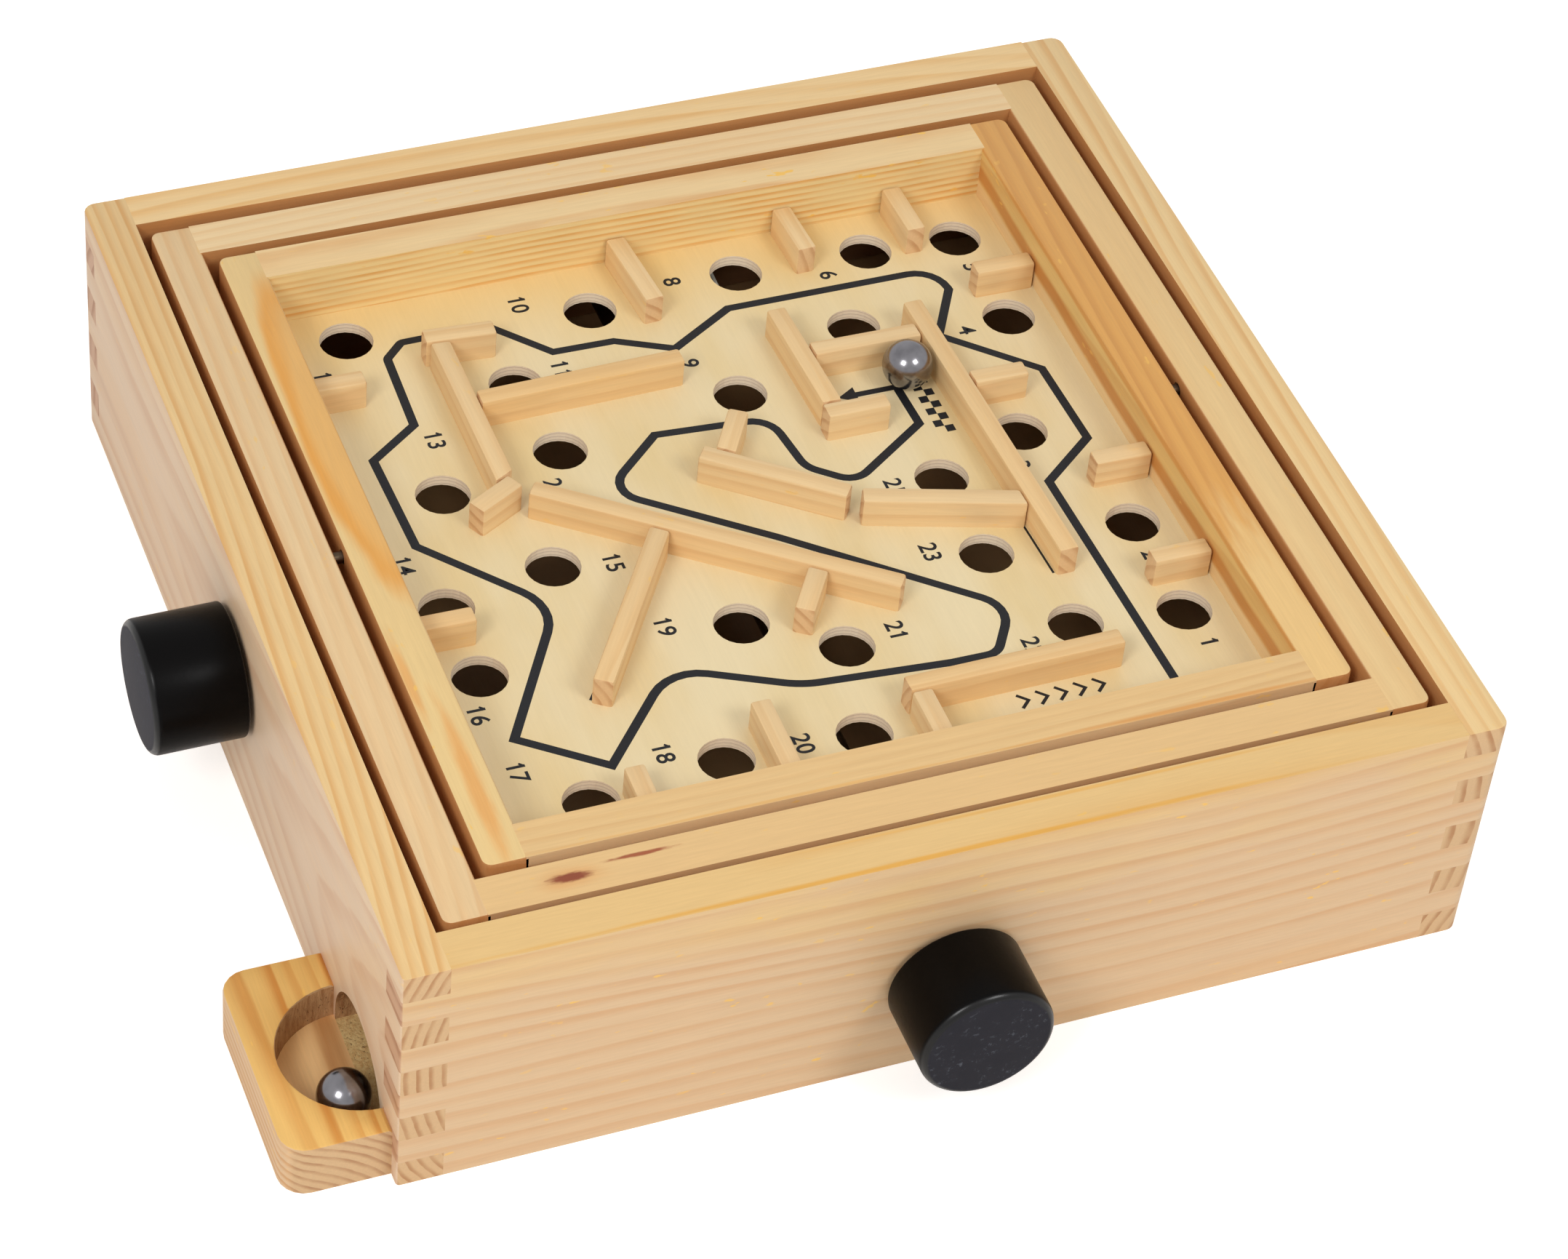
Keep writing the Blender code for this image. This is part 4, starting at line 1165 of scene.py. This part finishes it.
def turned_knob(name, node, axis, body, seed, light):
    """A finely turned knob along an axis (0 for X, 1 for Y), whose face looks to the axis's start."""
    low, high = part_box(node)
    turn = (0, -math.pi / 2, 0) if axis == 0 else (math.pi / 2, 0, 0)
    bpy.ops.mesh.primitive_cylinder_add(
        vertices=KNOB_SIDES, radius=(high.z - low.z) / 2, depth=high[axis] - low[axis],
        location=(low + high) / 2, rotation=turn)
    knob = bpy.context.object
    bpy.ops.object.transform_apply()
    for end, rounding, segments in ((low[axis], FACE_ROUNDING, 6), (high[axis], BACK_ROUNDING, 3)):
        bpy.ops.object.mode_set(mode="EDIT")
        bpy.ops.mesh.select_mode(type="EDGE")
        bpy.ops.mesh.select_all(action="DESELECT")
        bpy.ops.object.mode_set(mode="OBJECT")
        for edge in knob.data.edges:
            spots = [knob.data.vertices[corner].co[axis] for corner in edge.vertices]
            edge.select = all(abs(spot - end) < SAME_PLACE for spot in spots)
        bpy.ops.object.mode_set(mode="EDIT")
        bpy.ops.mesh.bevel(offset=rounding, segments=segments, profile=0.5)
        bpy.ops.object.mode_set(mode="OBJECT")
    bpy.ops.object.shade_smooth_by_angle(angle=SMOOTH_BELOW)
    knob.name = name
    knob.data.materials.append(black_lacquer(f"{name}_lacquer", node, "XYZ"[axis], seed, light))
    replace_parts(knob, node)
    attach(knob, body)
    print(f"{name}: {len(knob.data.polygons)} faces")


turned_knob("turned_frame_knob", "frame_knob", 1, "frame_turner", 1.0, (33, 32, 38))
turned_knob("turned_tray_knob", "tray_knob", 0, "tray_turner", 6.0, (42, 41, 48))

# %% [markdown]
# ## Cords
# A cord runs from an eye on one side of the frame or the tray, three times round its rod and on to
# the other eye. When the frame tilts, the turns stay on the rod while the ends go up and down, so
# each cord is built as its coil and its straight runs. Its braid is drawn on the tube's own map,
# round and along it.

# %% Braid the cord


def braid(name):
    """Braided elastic cord, with its strands crossing round the tube."""
    finish = Finish(name, {"Sheen Weight": 0.2})
    spot = finish.node("TexCoord", {}, {}, "UV")
    round_it, along = finish.parts(spot)[:2]
    lean = (along * 40 + round_it * 4).fraction() - 0.5
    counter = (along * 40 - round_it * 4).fraction() - 0.5
    strand = lean.size().rise(0.1, 0.45) * counter.size().rise(0.1, 0.45)
    fluff = finish.noise(finish.place(), (0.0006, 0.0006, 0.0006), 2.0, 3.0)
    return finish.wear(
        base_color=finish.mix(strand * 0.6 + fluff * 0.2, (226, 221, 208), (150, 144, 130)),
        roughness=fluff * 0.2 + 0.7,
        normal=finish.bumps(1 - strand, 0.00008))


cord_white = braid("braided_cord")

# %% [markdown]
# The route is worked out in the plane square to the rod: a straight run touches the rod's circle
# where it stands square to the radius, and from there the cord climbs along the rod as it turns.

# %% Wind the cords
CORD_RADIUS = 0.0005
WIND_GAP = 0.0003
CORD_TURNS = 3
STEPS_A_TURN = 40
STEPS_A_RUN = 30
TAIL = 0.0028
EYE_RING_LIFT = 0.0019


def tube(name, points):
    """A tube of cord along some points."""
    only(line_along(name, points, CORD_RADIUS, "3D", 3))
    bpy.ops.object.convert(target="MESH")
    piece = bpy.context.object
    bpy.ops.object.shade_smooth()
    piece.data.materials.clear()
    piece.data.materials.append(cord_white)
    return piece


def cord_parts(rod, near_eye, far_eye, across):
    """Points of a cord's first run, its coil and its last run, from eye to eye.

    across is 0 where the cord runs along X, and 1 where it runs along Y.
    """
    along = 1 - across
    rod_low, rod_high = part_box(rod)
    centre = Vector(((rod_low[across] + rod_high[across]) / 2, (rod_low.z + rod_high.z) / 2))
    wound = (rod_high.z - rod_low.z) / 2 + WIND_GAP + CORD_RADIUS
    eyes = []
    for eye in (near_eye, far_eye):
        low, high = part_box(eye)
        eyes.append((Vector(((low[across] + high[across]) / 2, low.z + EYE_RING_LIFT)),
                     (low[along] + high[along]) / 2))

    def touch(eye, side):
        arm = eye - centre
        return math.atan2(arm.y, arm.x) + side * math.acos(wound / arm.length)

    first = touch(eyes[0][0], 1) % math.tau
    last = touch(eyes[1][0], -1) % math.tau + CORD_TURNS * math.tau
    steps = round((last - first) / math.tau * STEPS_A_TURN)

    def spot(flat, place):
        return Vector((flat[0], place, flat[1]) if across == 0 else (place, flat[0], flat[1]))

    coil = []
    for step in range(steps + 1):
        share = step / steps
        angle = first + (last - first) * share
        flat = centre + wound * Vector((math.cos(angle), math.sin(angle)))
        coil.append(spot(flat, eyes[0][1] + (eyes[1][1] - eyes[0][1]) * share))
    runs = []
    for (eye, place), end in zip(eyes, (coil[0], coil[-1])):
        start = spot(eye, place)
        beyond = start + (start - end).normalized() * TAIL
        runs.append([beyond.lerp(end, step / STEPS_A_RUN) for step in range(STEPS_A_RUN + 1)])
    return runs[0], coil, runs[1]


first_run, coil, last_run = cord_parts("frame_rod", "frame_eye_left", "frame_eye_right", 0)
frame_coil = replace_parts(tube("frame_cord_coil", coil), "frame_cord")
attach(frame_coil, "box")
for name, run in (("frame_cord_left_run", first_run), ("frame_cord_right_run", last_run)):
    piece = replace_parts(tube(name, run), "frame_cord")
    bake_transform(piece)

first_run, coil, last_run = cord_parts("tray_rod", "tray_eye_front", "tray_eye_back", 1)
tray_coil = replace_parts(tube("tray_cord_coil", coil), "tray_cord")
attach(tray_coil, "box")
half = STEPS_A_RUN // 2
for name, run in (("tray_cord_front", first_run), ("tray_cord_back", last_run)):
    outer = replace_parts(tube(f"{name}_outer_run", run[:half + 1]), "tray_cord")
    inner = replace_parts(tube(f"{name}_inner_run", run[half:]), "tray_cord")
    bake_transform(inner)
    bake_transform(outer)
print("two cords wound")
